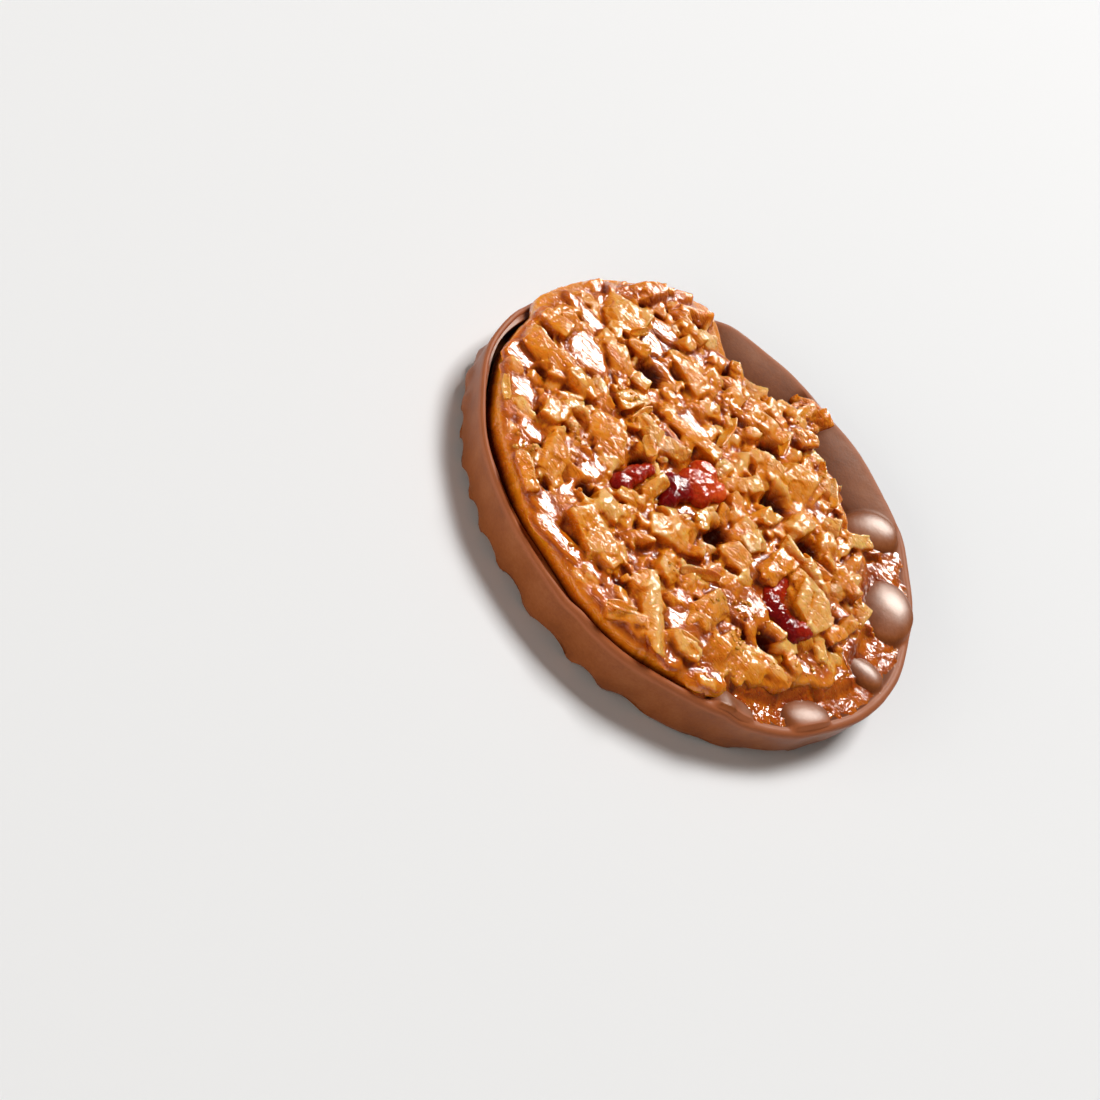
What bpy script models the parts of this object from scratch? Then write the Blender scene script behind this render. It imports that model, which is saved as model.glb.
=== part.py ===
# Florentine cookie: a thin milk-chocolate case with a combed underside, filled with
# caramelised almond pieces that stand above its rim, and set with candied cherry.
#
# Metres, +Z up. The origin is the middle of the underside, on the surface that the
# combed ridges rest on. Angles are in degrees, anticlockwise from +X seen from above.
import math
import random
from collections import namedtuple

import bmesh
import bpy
from mathutils import Matrix, Vector

MM = 0.001

# ---------------------------------------------------------------- driving sizes
CASE_RADIUS = 31.0 * MM  # outer radius at the rim
RIM_HEIGHT = 6.0 * MM  # crest of the rim above the surface it rests on
RIM_THICKNESS = 1.1 * MM
WALL_DRAFT = 0.10  # the wall leans in by this share of its depth
CORNER_RADIUS = 1.5 * MM  # rounding between wall and underside
FLOOR_HEIGHT = 2.8 * MM  # top of the chocolate under the filling
POOL_DEPTH = 0.8 * MM  # chocolate between filling and rim lies this far below the crest

COMB_PITCH = 4.2 * MM
COMB_DEPTH = 1.1 * MM
COMB_DIRECTION = 48.0  # the way the ridges run
COMB_SWAY = 1.3 * MM  # the comb was drawn in waves
COMB_WAVELENGTH = 17.0 * MM
COMB_STEPS = 20  # along the ridges
RIDGE_FLAT = 0.14  # share of the pitch that is the flat top of a ridge
GROOVE_SHARES = (-RIDGE_FLAT / 2, RIDGE_FLAT / 2, 0.33, 0.67)  # ridge, then groove floor

CLEARANCE = 0.32 * MM  # between separate pieces
FILLING_RADIUS = 29.3 * MM
FILLING_CORNER = 0.5 * MM
CARAMEL_EDGE = 7.2 * MM  # top of the caramel at the edge and in the middle
CARAMEL_CROWN = 8.0 * MM
CARAMEL_ROUNDING = 0.5 * MM
CROWN_RUN = 8.0 * MM  # the top rises inwards over this width

SEGMENTS = 84
OVERSHOOT = 1.5 * MM  # cutters reach past what they cut

# Bays where chocolate lies open between the filling and the rim: from and to which
# angle, and how far in.
Bay = namedtuple("Bay", "start end reach")
BAYS = (
    Bay(91.0, 117.0, 7.2),
    Bay(41.0, 84.5, 7.0),
    Bay(-8.0, 38.0, 6.6),
    Bay(-37.0, -20.0, 3.2),
    Bay(-57.0, -43.0, 2.7),
)

# Rounded swells of chocolate in the bays: angle, distance in from the rim, half sizes
# round the rim and across it, and height above the bay.
Swell = namedtuple("Swell", "angle inset half_round half_across height")
SWELLS = (
    Swell(103.0, 3.6, 6.4, 4.2, 0.7),
    Swell(70.0, 3.6, 6.8, 4.2, 0.8),
    Swell(50.0, 4.6, 3.2, 3.4, 1.9),
    Swell(25.0, 3.9, 5.6, 4.0, 2.1),
    Swell(-2.0, 3.7, 2.6, 3.1, 1.6),
    Swell(-28.5, 2.6, 4.0, 2.4, 1.3),
    Swell(-50.0, 2.2, 3.2, 2.0, 0.9),
)

# Pieces of candied cherry: centre, half sizes, turn, height of the middle and shape.
Fruit = namedtuple("Fruit", "name x y half_length half_width half_height turn z seed")
FRUITS = (
    Fruit("cherry_middle", -2.4, -4.2, 5.6, 2.8, 1.6, 72.0, 8.2, 3),
    Fruit("cherry_left", -7.6, -11.0, 2.9, 1.6, 1.3, 75.0, 8.2, 5),
    Fruit("cherry_right", 15.0, -6.6, 4.2, 2.3, 1.5, -38.0, 8.1, 8),
)

LONG_FRUIT = 5.0  # half length past which a piece is made finer
FRUIT_MARGIN = 1.3  # no small almond piece has its middle nearer than this

# The almond pieces that shape the top most: centre, half sizes, turn, how high the
# middle lies above the caramel, and slope along the length.
Piece = namedtuple("Piece", "x y half_length half_width turn lift slope")
LARGE_PIECES = (
    Piece(5.0, -23.5, 5.8, 1.5, -47.0, 0.5, 0.00),
    Piece(-7.0, 2.6, 4.6, 1.5, 12.0, 0.7, 0.06),
    Piece(-4.5, 8.0, 3.4, 1.1, -76.0, 0.9, 0.10),
    Piece(-4.0, 16.0, 3.6, 2.0, 35.0, 0.6, -0.12),
    Piece(3.0, 9.8, 4.8, 1.8, 4.0, 0.8, 0.00),
    Piece(9.4, 4.6, 3.8, 1.3, 84.0, 0.8, 0.00),
    Piece(13.0, 7.2, 2.6, 1.9, 20.0, 0.7, 0.14),
    Piece(17.2, -2.6, 3.4, 2.3, -25.0, 0.9, 0.08),
    Piece(6.0, -2.4, 3.0, 1.6, -60.0, 0.8, 0.00),
    Piece(7.6, -8.8, 2.4, 1.8, 30.0, 0.7, 0.14),
    Piece(5.6, -14.8, 3.4, 1.2, 55.0, 0.7, 0.00),
    Piece(-7.0, -18.4, 2.9, 2.1, 30.0, 0.7, 0.00),
    Piece(-15.2, -17.6, 3.0, 2.2, -60.0, 0.7, 0.08),
    Piece(-3.2, -22.4, 3.8, 2.4, -35.0, 0.6, 0.00),
    Piece(3.0, -27.0, 2.6, 1.3, 42.0, 0.4, 0.00),
    Piece(-21.0, -6.6, 4.4, 2.1, -8.0, 0.6, 0.05),
    Piece(-21.6, 10.4, 3.0, 1.9, 70.0, 0.6, 0.00),
    Piece(-12.4, 9.2, 3.4, 2.1, 0.0, 0.6, 0.08),
    Piece(-18.0, 1.6, 2.9, 1.9, -40.0, 0.7, 0.00),
    Piece(-13.4, -7.4, 2.8, 3.6, 0.0, 0.2, 0.00),
    Piece(-18.4, -12.4, 3.1, 1.5, 35.0, 0.7, 0.00),
    Piece(19.0, -16.0, 3.2, 2.5, -70.0, 0.5, 0.00),
    Piece(-23.6, 16.6, 4.0, 1.8, 52.0, 0.1, 0.00),
    Piece(1.5, -12.4, 2.6, 2.0, -20.0, 0.8, 0.00),
    Piece(13.4, -17.6, 2.8, 2.0, 15.0, 0.6, 0.00),
)
PIECE_HALF_HEIGHT = 1.05 * MM
PIECE_SQUARENESS = 0.78  # 1 would make them ellipsoids
PIECE_UNEVENNESS = 0.13
LONG_PIECE = 4.0  # half length past which a piece is made finer
SMALL_PIECES = 60  # further pieces, scattered
SMALL_SPACING = 4.1 * MM
SMALL_ROOM = 1.7 * MM  # from a small piece's middle to the caramel's edge
SCATTER_SEED = 21

# Hollows between the pieces, where the caramel is thin: centre, radius and depth.
Hollow = namedtuple("Hollow", "x y radius depth")
HOLLOWS = (
    Hollow(1.4, 13.6, 1.9, 1.3),
    Hollow(3.6, -8.2, 1.9, 1.6),
    Hollow(-15.4, 4.4, 1.9, 1.3),
    Hollow(12.6, 2.6, 1.6, 1.2),
    Hollow(16.6, -13.0, 1.5, 1.2),
    Hollow(4.6, 4.4, 2.0, 1.2),
    Hollow(-8.4, -14.8, 1.6, 1.1),
)

COLOURS = {  # colour, roughness
    "milk_chocolate": ((0.205, 0.075, 0.031), 0.42),
    "caramel_nut": ((0.56, 0.22, 0.03), 0.18),
    "candied_cherry": ((0.33, 0.012, 0.008), 0.15),
}


# ---------------------------------------------------------------- shape rules
def clamp(value, low=0.0, high=1.0):
    return max(low, min(high, value))


def smooth(t):
    t = clamp(t)
    return t * t * (3 - 2 * t)


def angle_between(a, b):
    """Signed degrees from b to a, between -180 and 180."""
    return (a - b + 180.0) % 360.0 - 180.0


def span(angle, start, end, soft):
    """1 between two angles and 0 outside them, with soft ends."""
    middle = (start + end) / 2
    off = abs(angle_between(angle, middle)) - (end - start) / 2
    return smooth(0.5 - off / soft)


def polar(x, y):
    """Radius and angle of a point seen from above."""
    return math.hypot(x, y), math.degrees(math.atan2(y, x))


def wave(angle, count, phase):
    return math.cos(math.radians(count * angle + phase))


def outline_shift(angle):
    """How far the hand-filled case departs from a circle."""
    flat_side = 0.45 * span(angle, 58.0, 100.0, 30.0) + 0.35 * span(angle, 32.0, 46.0, 14.0)
    return MM * (
        0.16 * wave(angle, 2, 35.0)
        + 0.14 * wave(angle, 5, 80.0)
        + 0.10 * wave(angle, 9, 10.0)
        + 0.05 * wave(angle, 17, 200.0)
        - flat_side
    )


def overflow(angle):
    """1 where caramel covers the rim."""
    return span(angle, 113.0, 172.0, 12.0)


def rim_height(angle):
    folded_over = 0.45 * span(angle, 268.0, 309.0, 5.0)
    low = 0.35 * span(angle, 310.0, 350.0, 8.0)
    uneven = 0.12 * wave(angle, 7, 40.0) + 0.08 * wave(angle, 15, 0.0)
    return RIM_HEIGHT + MM * (folded_over - low + uneven - 0.9 * overflow(angle))


def bay_reach(angle):
    """How far the open chocolate pushes the filling's edge inwards."""
    reach = 0.0
    for bay in BAYS:
        half = (bay.end - bay.start) / 2
        t = abs(angle_between(angle, (bay.start + bay.end) / 2)) / half
        if t < 1:
            reach = max(reach, bay.reach * (1 - t**4))
    return reach * MM


def swell_height(angle, radius):
    """Height of the rounded swells of chocolate above their bay."""
    height = 0.0
    for swell in SWELLS:
        middle = CASE_RADIUS - swell.inset * MM
        along = math.radians(angle_between(angle, swell.angle)) * middle / (swell.half_round * MM)
        across = (radius - middle) / (swell.half_across * MM)
        height = max(height, swell.height * math.sqrt(clamp(1 - along * along - across * across)))
    return height * MM


def filling_edge(angle):
    uneven = 0.15 * wave(angle, 6, 120.0) + 0.12 * wave(angle, 13, 30.0)
    return FILLING_RADIUS + outline_shift(angle) + uneven * MM - bay_reach(angle)


def side_gap(angle):
    """Between filling and case. On one side the filling shrank away from the wall."""
    return CLEARANCE + 0.9 * MM * span(angle, 188.0, 244.0, 26.0)


def rim_inside(angle):
    return CASE_RADIUS + outline_shift(angle) - RIM_THICKNESS


# ---------------------------------------------------------------- mesh helpers
def mesh_object(name, bm, colour=None):
    bmesh.ops.recalc_face_normals(bm, faces=bm.faces)
    mesh = bpy.data.meshes.new(name)
    bm.to_mesh(mesh)
    bm.free()
    mesh.shade_smooth()
    obj = bpy.data.objects.new(name, mesh)
    bpy.context.scene.collection.objects.link(obj)
    if colour:
        mesh.materials.append(material(colour))
    else:
        obj.hide_render = True
        obj.display_type = "WIRE"
    return obj


def material(name):
    found = bpy.data.materials.get(name)
    if found:
        return found
    made = bpy.data.materials.new(name)
    made.use_nodes = True
    shader = made.node_tree.nodes["Principled BSDF"]
    colour, roughness = COLOURS[name]
    shader.inputs["Base Color"].default_value = (*colour, 1.0)
    shader.inputs["Roughness"].default_value = roughness
    shader.inputs["Metallic"].default_value = 0.0
    return made


def turned(profile, shaper):
    """A profile of (radius, height) spun, shaped by angle, and closed flat where its
    two ends leave the middle open."""
    bm = bmesh.new()
    points = [bm.verts.new((r, 0.0, z)) for r, z in profile]
    edges = [bm.edges.new(pair) for pair in zip(points, points[1:])]
    bmesh.ops.spin(
        bm,
        geom=points + edges,
        cent=(0, 0, 0),
        axis=(0, 0, 1),
        angle=2 * math.pi,
        steps=SEGMENTS,
        use_merge=True,
    )
    bmesh.ops.remove_doubles(bm, verts=bm.verts, dist=0.002 * MM)
    for vert in bm.verts:
        radius, angle = polar(vert.co.x, vert.co.y)
        r, z = shaper(radius, vert.co.z, angle)
        vert.co = (r * vert.co.x / radius, r * vert.co.y / radius, z)
    bmesh.ops.holes_fill(bm, edges=[edge for edge in bm.edges if edge.is_boundary])
    return bm


def boolean(obj, cutter, operation="DIFFERENCE"):
    modifier = obj.modifiers.new(cutter.name, "BOOLEAN")
    modifier.operation = operation
    modifier.solver = "EXACT"
    modifier.use_self = operation == "UNION"
    modifier.object = cutter


# ---------------------------------------------------------------- chocolate case
def case_profile():
    """(radius, height) of the plain turned case, from the floor's edge, over the rim
    and down the wall, to below the underside."""
    inside = CASE_RADIUS - RIM_THICKNESS
    cavity = FILLING_RADIUS + CLEARANCE
    wall_foot = CASE_RADIUS - WALL_DRAFT * (RIM_HEIGHT - CORNER_RADIUS)
    profile = [(cavity, FLOOR_HEIGHT)]
    for across in (0.0, 0.3, 0.6, 1.0):
        profile.append((cavity + (inside - cavity) * across, RIM_HEIGHT - POOL_DEPTH))
    rim = RIM_THICKNESS / 2
    for turn in (140.0, 80.0, 20.0):
        lean = math.radians(turn)
        profile.append(
            (CASE_RADIUS - rim + rim * math.cos(lean), RIM_HEIGHT - rim * (1 - math.sin(lean)))
        )
    for turn in (0.0, 40.0, 75.0):
        lean = math.radians(turn)
        profile.append(
            (
                wall_foot - CORNER_RADIUS * (1 - math.cos(lean)),
                CORNER_RADIUS * (1 - math.sin(lean)),
            )
        )
    profile.append((wall_foot - 1.3 * CORNER_RADIUS, -OVERSHOOT))
    return profile


def shape_case(radius, height, angle):
    """Moves one point of the turned case to where it is at this angle."""
    cavity = FILLING_RADIUS + CLEARANCE
    inside = CASE_RADIUS - RIM_THICKNESS
    shift = outline_shift(angle)
    rise = rim_height(angle) - RIM_HEIGHT
    if height < 0:
        return radius, height
    if radius > inside + 0.01 * MM:
        share = clamp((height - CORNER_RADIUS) / (RIM_HEIGHT - CORNER_RADIUS))
        return radius + shift, height + rise * share
    edge = filling_edge(angle) + side_gap(angle)
    if height < FLOOR_HEIGHT + 0.01 * MM:
        return edge, height
    across = (radius - cavity) / (inside - cavity)
    radius = edge + (rim_inside(angle) - edge) * across
    bank = 0.25 * MM * (1 - across)
    return radius, height + rise - bank + swell_height(angle, radius)


def comb_cutter():
    """A block whose top is the combed underside: waved grooves between flat ridges."""
    reach = CASE_RADIUS + 2 * OVERSHOOT
    grooves = math.ceil(reach / COMB_PITCH)
    across = [
        COMB_PITCH * (groove + share)
        for groove in range(-grooves, grooves)
        for share in GROOVE_SHARES
    ]
    bm = bmesh.new()
    bmesh.ops.create_grid(bm, x_segments=len(across) - 1, y_segments=COMB_STEPS, size=1.0)
    for vert in bm.verts:
        column = round((vert.co.x + 1) / 2 * (len(across) - 1))
        along = vert.co.y * reach
        sway = COMB_SWAY * math.sin(2 * math.pi * along / COMB_WAVELENGTH)
        on_ridge = column % len(GROOVE_SHARES) < 2
        vert.co = (along, across[column] + sway, 0.0 if on_ridge else COMB_DEPTH)
    skirt = bmesh.ops.extrude_face_region(bm, geom=bm.faces[:])
    for item in skirt["geom"]:
        if isinstance(item, bmesh.types.BMVert):
            item.co.z = -3 * OVERSHOOT
    bmesh.ops.rotate(
        bm,
        verts=bm.verts,
        cent=(0, 0, 0),
        matrix=Matrix.Rotation(math.radians(COMB_DIRECTION), 3, "Z"),
    )
    return mesh_object("comb_cutter", bm)


def chocolate_case():
    case = mesh_object("chocolate_case", turned(case_profile(), shape_case), "milk_chocolate")
    boolean(case, comb_cutter())
    return case


# ---------------------------------------------------------------- nut filling
def taken(x, y):
    """Whether a hollow or a piece of cherry has this place."""
    if any(math.hypot(x / MM - h.x, y / MM - h.y) < h.radius for h in HOLLOWS):
        return True
    for fruit in FRUITS:
        turn = math.radians(fruit.turn)
        dx, dy = x / MM - fruit.x, y / MM - fruit.y
        along = (dx * math.cos(turn) + dy * math.sin(turn)) / (fruit.half_length + FRUIT_MARGIN)
        across = (dy * math.cos(turn) - dx * math.sin(turn)) / (fruit.half_width + FRUIT_MARGIN)
        if along * along + across * across < 1:
            return True
    return False


def scattered_pieces():
    """Small almond pieces between the large ones, apart from each other."""
    rng = random.Random(SCATTER_SEED)
    placed = [(piece.x * MM, piece.y * MM) for piece in LARGE_PIECES]
    pieces = []
    tries = 0
    while len(pieces) < SMALL_PIECES and tries < 6000:
        tries += 1
        radius = FILLING_RADIUS * math.sqrt(rng.random())
        angle = rng.uniform(-180.0, 180.0)
        x = radius * math.cos(math.radians(angle))
        y = radius * math.sin(math.radians(angle))
        room = filling_edge(angle) - radius
        if room < SMALL_ROOM or taken(x, y):
            continue
        if any(math.hypot(x - px, y - py) < SMALL_SPACING for px, py in placed):
            continue
        placed.append((x, y))
        long_half = rng.uniform(1.9, 2.9)
        wide_half = rng.uniform(1.2, 1.8)
        turn = rng.uniform(0.0, 180.0)
        if room < long_half * MM + SMALL_ROOM:
            turn = angle + 90.0
        lift = rng.uniform(0.1, 0.7)
        slope = rng.uniform(-0.2, 0.2)
        pieces.append(Piece(x / MM, y / MM, long_half, wide_half, turn, lift, slope))
    return pieces


def caramel_top(radius, angle):
    """Height of the caramel that the almond pieces are set in."""
    inward = (filling_edge(angle) - radius) / CROWN_RUN
    return CARAMEL_EDGE + (CARAMEL_CROWN - CARAMEL_EDGE) * clamp(inward)


def add_piece(bm, piece, rng):
    """One almond piece: an uneven block with blunt corners, finer if it is long."""
    fineness = 2 if piece.half_length > LONG_PIECE else 1
    made = bmesh.ops.create_icosphere(bm, subdivisions=fineness, radius=1.0)["verts"]
    half = Vector((piece.half_length * MM, piece.half_width * MM, PIECE_HALF_HEIGHT))
    for vert in made:
        uneven = 1 + rng.uniform(-PIECE_UNEVENNESS, PIECE_UNEVENNESS)
        for axis in range(3):
            share = vert.co[axis]
            squared = math.copysign(abs(share) ** PIECE_SQUARENESS, share)
            vert.co[axis] = squared * half[axis] * uneven
    radius, angle = polar(piece.x * MM, piece.y * MM)
    place = Vector((piece.x, piece.y, 0.0)) * MM
    place.z = caramel_top(radius, angle) + piece.lift * MM
    tilt = Matrix.Rotation(-math.atan(piece.slope), 4, "Y")
    turn = Matrix.Rotation(math.radians(piece.turn), 4, "Z")
    bmesh.ops.transform(bm, verts=made, matrix=Matrix.Translation(place) @ turn @ tilt)


def almond_pieces():
    """The almond pieces, each closed in itself and sunk into the caramel."""
    rng = random.Random(SCATTER_SEED)
    bm = bmesh.new()
    for piece in list(LARGE_PIECES) + scattered_pieces():
        add_piece(bm, piece, rng)
    return mesh_object("almond_pieces", bm)


def hollows():
    """Dents where the caramel sank between the pieces."""
    bm = bmesh.new()
    for hollow in HOLLOWS:
        made = bmesh.ops.create_icosphere(bm, subdivisions=1, radius=1.0)["verts"]
        bmesh.ops.scale(bm, verts=made, vec=Vector((hollow.radius, hollow.radius, hollow.depth)) * MM)
        place = Vector((hollow.x * MM, hollow.y * MM, CARAMEL_CROWN + 0.1 * MM))
        bmesh.ops.translate(bm, verts=made, vec=place)
    return mesh_object("caramel_hollows", bm)


def filling_profile():
    """(radius, height) of the plain turned caramel: underside, side, the lip over the
    rim, and the top."""
    floor = FLOOR_HEIGHT + CLEARANCE
    return [
        (FILLING_RADIUS - FILLING_CORNER, floor),
        (FILLING_RADIUS, floor + FILLING_CORNER),
        (FILLING_RADIUS, RIM_HEIGHT),
        (FILLING_RADIUS + RIM_THICKNESS, RIM_HEIGHT + 0.15 * MM),
        (FILLING_RADIUS + RIM_THICKNESS, CARAMEL_EDGE - CARAMEL_ROUNDING),
        (FILLING_RADIUS - CARAMEL_ROUNDING, CARAMEL_EDGE),
        (FILLING_RADIUS - CROWN_RUN, CARAMEL_CROWN),
    ]


def shape_filling(radius, height, angle):
    """Moves one point of the turned caramel to where it is at this angle."""
    edge = filling_edge(angle)
    shift = edge - FILLING_RADIUS
    if radius > FILLING_RADIUS + 0.01 * MM:
        over_rim = rim_inside(angle) + 0.75 * RIM_THICKNESS - edge
        radius = FILLING_RADIUS + over_rim * overflow(angle)
    if abs(height - RIM_HEIGHT) < 0.3 * MM:
        height += min(rim_height(angle) - RIM_HEIGHT, 0.0) + CLEARANCE
    return radius + shift, height


def fruit_mesh(fruit, grow=0.0):
    """A wrinkled, flattened lump. grow widens it all round for the socket it sits in."""
    rng = random.Random(fruit.seed)
    folds = [
        (Vector((rng.uniform(-1, 1), rng.uniform(-1, 1), rng.uniform(-1, 1))), rng.uniform(2, 4))
        for _ in range(5)
    ]
    half = Vector((fruit.half_length, fruit.half_width, fruit.half_height)) * MM
    bm = bmesh.new()
    fineness = 3 if fruit.half_length > LONG_FRUIT else 2
    bmesh.ops.create_icosphere(bm, subdivisions=fineness, radius=1.0)
    for vert in bm.verts:
        way = vert.co.normalized()
        crease = sum(math.sin(tight * way.dot(axis) * 2.0) for axis, tight in folds) / len(folds)
        scale = 1 + 0.16 * crease
        vert.co = Vector(
            (
                way.x * (half.x * scale + grow),
                way.y * (half.y * scale + grow),
                way.z * (half.z * scale + grow),
            )
        )
    bmesh.ops.rotate(
        bm,
        verts=bm.verts,
        cent=(0, 0, 0),
        matrix=Matrix.Rotation(math.radians(fruit.turn), 3, "Z"),
    )
    bmesh.ops.translate(bm, verts=bm.verts, vec=Vector((fruit.x, fruit.y, fruit.z)) * MM)
    return bm


def nut_filling():
    filling = mesh_object("nut_filling", turned(filling_profile(), shape_filling), "caramel_nut")
    boolean(filling, hollows())
    boolean(filling, almond_pieces(), "UNION")
    for fruit in FRUITS:
        socket = mesh_object(fruit.name + "_socket", fruit_mesh(fruit, 1.3 * CLEARANCE))
        boolean(filling, socket)
    return filling


def cherries():
    for fruit in FRUITS:
        mesh_object(fruit.name, fruit_mesh(fruit), "candied_cherry")


def main():
    for obj in list(bpy.data.objects):
        bpy.data.objects.remove(obj)
    chocolate_case()
    nut_filling()
    cherries()


main()
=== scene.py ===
import math
import random

import bmesh
import bpy
import numpy as np
from mathutils import Matrix, Vector, noise
from mathutils.bvhtree import BVHTree


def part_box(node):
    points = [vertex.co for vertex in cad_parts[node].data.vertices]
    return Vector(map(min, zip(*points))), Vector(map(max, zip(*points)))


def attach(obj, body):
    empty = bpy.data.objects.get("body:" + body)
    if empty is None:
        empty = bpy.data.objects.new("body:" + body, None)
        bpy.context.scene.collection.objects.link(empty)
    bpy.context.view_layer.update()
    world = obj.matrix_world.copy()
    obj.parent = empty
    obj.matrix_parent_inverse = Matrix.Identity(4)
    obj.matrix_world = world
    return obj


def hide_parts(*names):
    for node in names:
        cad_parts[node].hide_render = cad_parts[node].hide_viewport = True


# Shapes are made in millimetres and scaled to metres when a piece is finished.
# Angles are in degrees, anticlockwise from +X seen from above.
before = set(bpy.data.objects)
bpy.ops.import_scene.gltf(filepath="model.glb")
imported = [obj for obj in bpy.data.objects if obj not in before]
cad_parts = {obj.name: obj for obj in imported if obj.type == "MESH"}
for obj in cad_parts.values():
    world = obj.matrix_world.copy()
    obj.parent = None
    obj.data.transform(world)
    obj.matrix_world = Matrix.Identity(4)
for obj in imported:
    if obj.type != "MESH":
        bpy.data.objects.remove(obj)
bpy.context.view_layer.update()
mm = 0.001
noise.seed_set(7)  # crumples fall the same way each run
scene = bpy.context.scene
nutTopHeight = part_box("nut_filling")[1].z / mm
print("frame loaded, the filling reaches up to", round(nutTopHeight, 2), "mm")


# small maths
def clamp(value, low=0.0, high=1.0):
    return max(low, min(high, value))


def smoothStep(t):
    t = clamp(t)
    return t * t * (3 - 2 * t)


def angleBetween(a, b):
    # the signed turn from b to a, at most half a circle
    return (a - b + 180.0) % 360.0 - 180.0


def span(angle, start, end, soft):
    # 1 between two angles, 0 outside them, with soft ends
    off = abs(angleBetween(angle, (start + end) / 2)) - (end - start) / 2
    return smoothStep(0.5 - off / soft)


def wave(angle, count, phase):
    return math.cos(math.radians(count * angle + phase))


def waves(angle, rows):
    return sum(depth * wave(angle, count, phase) for depth, count, phase in rows)


def stretches(angle, rows):
    # the sum of changes that hold over a stretch of the circle
    return sum(depth * span(angle, start, end, soft) for depth, start, end, soft in rows)


def polar(x, y):
    return math.hypot(x, y), math.degrees(math.atan2(y, x))


def flatPlace(radius, angle):
    turn = math.radians(angle)
    return radius * math.cos(turn), radius * math.sin(turn)


# shape rules shared by the shell, the nut top and the caramel film
cookie = {
    "radius": 31.0,
    "rimHeight": 6.0,
    "rimThickness": 1.1,
    "fillingRadius": 29.3,
    "clearance": 0.32,
    "bankFall": 0.25,
    # waves round the cookie: depth, count, phase
    "outlineWaves": [(0.16, 2, 35), (0.14, 5, 80), (0.10, 9, 10), (0.05, 17, 200)],
    "rimWaves": [(0.12, 7, 40), (0.08, 15, 0)],
    "edgeWaves": [(0.15, 6, 120), (0.12, 13, 30)],
    # stretches: how much, from angle, to angle, soft ends
    "flatSides": [(0.45, 58, 100, 30), (0.35, 32, 46, 14)],
    "foldedRim": [(0.45, 268, 309, 5)],
    "lowRim": [(0.35, 310, 350, 8)],
    "wideGap": [(0.55, 188, 244, 26)],
    # where caramel covers the rim, and how much lower the rim is there
    "overflow": (120, 182, 10),
    "overflowSink": 0.9,
    "bankSink": 0.05,
    "swellPower": 0.5,
    # open chocolate between nuts and rim: from angle, to angle, how far in
    "bays": [
        (93, 125, 7.6), (42, 82.5, 7.6), (40, 58, 8.6), (11, 40, 7.0), (-9, 12, 5.6), (-57, -8, 3.3),
        (-37, -21, 4.4),
    ],
    "bayEnds": 5.0,
    # rounded swells of chocolate: angle, inset, half size round, half size across, height
    "swells": [
        (106.0, 1.6, 8.0, 7.5, 0.40),
        (68.0, 1.8, 9.5, 7.5, 0.60),
        (49.5, 5.6, 3.6, 4.6, 1.5),
        (22.9, 4.6, 5.6, 4.3, 1.9),
        (-2.4, 4.2, 2.5, 3.4, 1.4),
        (-28.4, 2.2, 3.8, 2.7, 1.15),
        (-50.4, 1.9, 3.4, 2.2, 0.85),
    ],
}


def outlineShift(angle):
    return waves(angle, cookie["outlineWaves"]) - stretches(angle, cookie["flatSides"])


def overflow(angle):
    # 1 where caramel covers the rim
    return span(angle, *cookie["overflow"])


def rimHeight(angle):
    height = cookie["rimHeight"] + stretches(angle, cookie["foldedRim"]) - stretches(angle, cookie["lowRim"])
    return height + waves(angle, cookie["rimWaves"]) - cookie["overflowSink"] * overflow(angle)


def rimInside(angle):
    return cookie["radius"] + outlineShift(angle) - cookie["rimThickness"]


def bayReach(angle):
    return max(far * span(angle, start, end, cookie["bayEnds"]) for start, end, far in cookie["bays"])


def swellHeight(angle, radius):
    height = 0.0
    for at, inset, halfRound, halfAcross, rise in cookie["swells"]:
        middle = cookie["radius"] - inset
        along = math.radians(angleBetween(angle, at)) * middle / halfRound
        across = (radius - middle) / halfAcross
        bulge = clamp(1 - along * along - across * across)
        height = max(height, rise * bulge ** cookie["swellPower"] * smoothStep(3 * bulge))
    return height


def fillingEdge(angle):
    uneven = waves(angle, cookie["edgeWaves"])
    return cookie["fillingRadius"] + outlineShift(angle) + uneven - bayReach(angle)


def sideGap(angle):
    # on one side the filling shrank away from the wall
    return cookie["clearance"] + stretches(angle, cookie["wideGap"])


def bankHeight(angle, radius):
    # bare chocolate in a bay: a bank that falls from the rim towards the nuts, with its swells
    fall = cookie["bankFall"] * max(0.0, rimInside(angle) + 0.3 - radius)
    return rimHeight(angle) - cookie["bankSink"] - fall + swellHeight(angle, radius)


def softMax(a, b, soft):
    # the larger of two heights, blended where they cross
    share = clamp(0.5 + (a - b) / (2 * soft))
    return b + (a - b) * share + soft * share * (1 - share)


# mesh helpers
def meshObject(name, bm):
    mesh = bpy.data.meshes.new(name)
    bm.to_mesh(mesh)
    bm.free()
    obj = bpy.data.objects.new(name, mesh)
    scene.collection.objects.link(obj)
    return obj


def bakeModifiers(obj):
    evaluated = obj.evaluated_get(bpy.context.evaluated_depsgraph_get())
    mesh = bpy.data.meshes.new_from_object(evaluated)
    obj.modifiers.clear()
    obj.data = mesh


def blendSolids(name, bm, owner, voxel):
    # makes one skin of overlapping solids, and a rule that tells which solid each point came from
    surface = BVHTree.FromBMesh(bm)
    owners = np.array([face[owner] for face in bm.faces])
    obj = meshObject(name, bm)
    blend = obj.modifiers.new("blend", "REMESH")
    blend.mode = "VOXEL"
    blend.voxel_size = voxel
    bakeModifiers(obj)
    return obj, lambda points: owners[[surface.find_nearest(Vector(p))[2] for p in points]]


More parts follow.
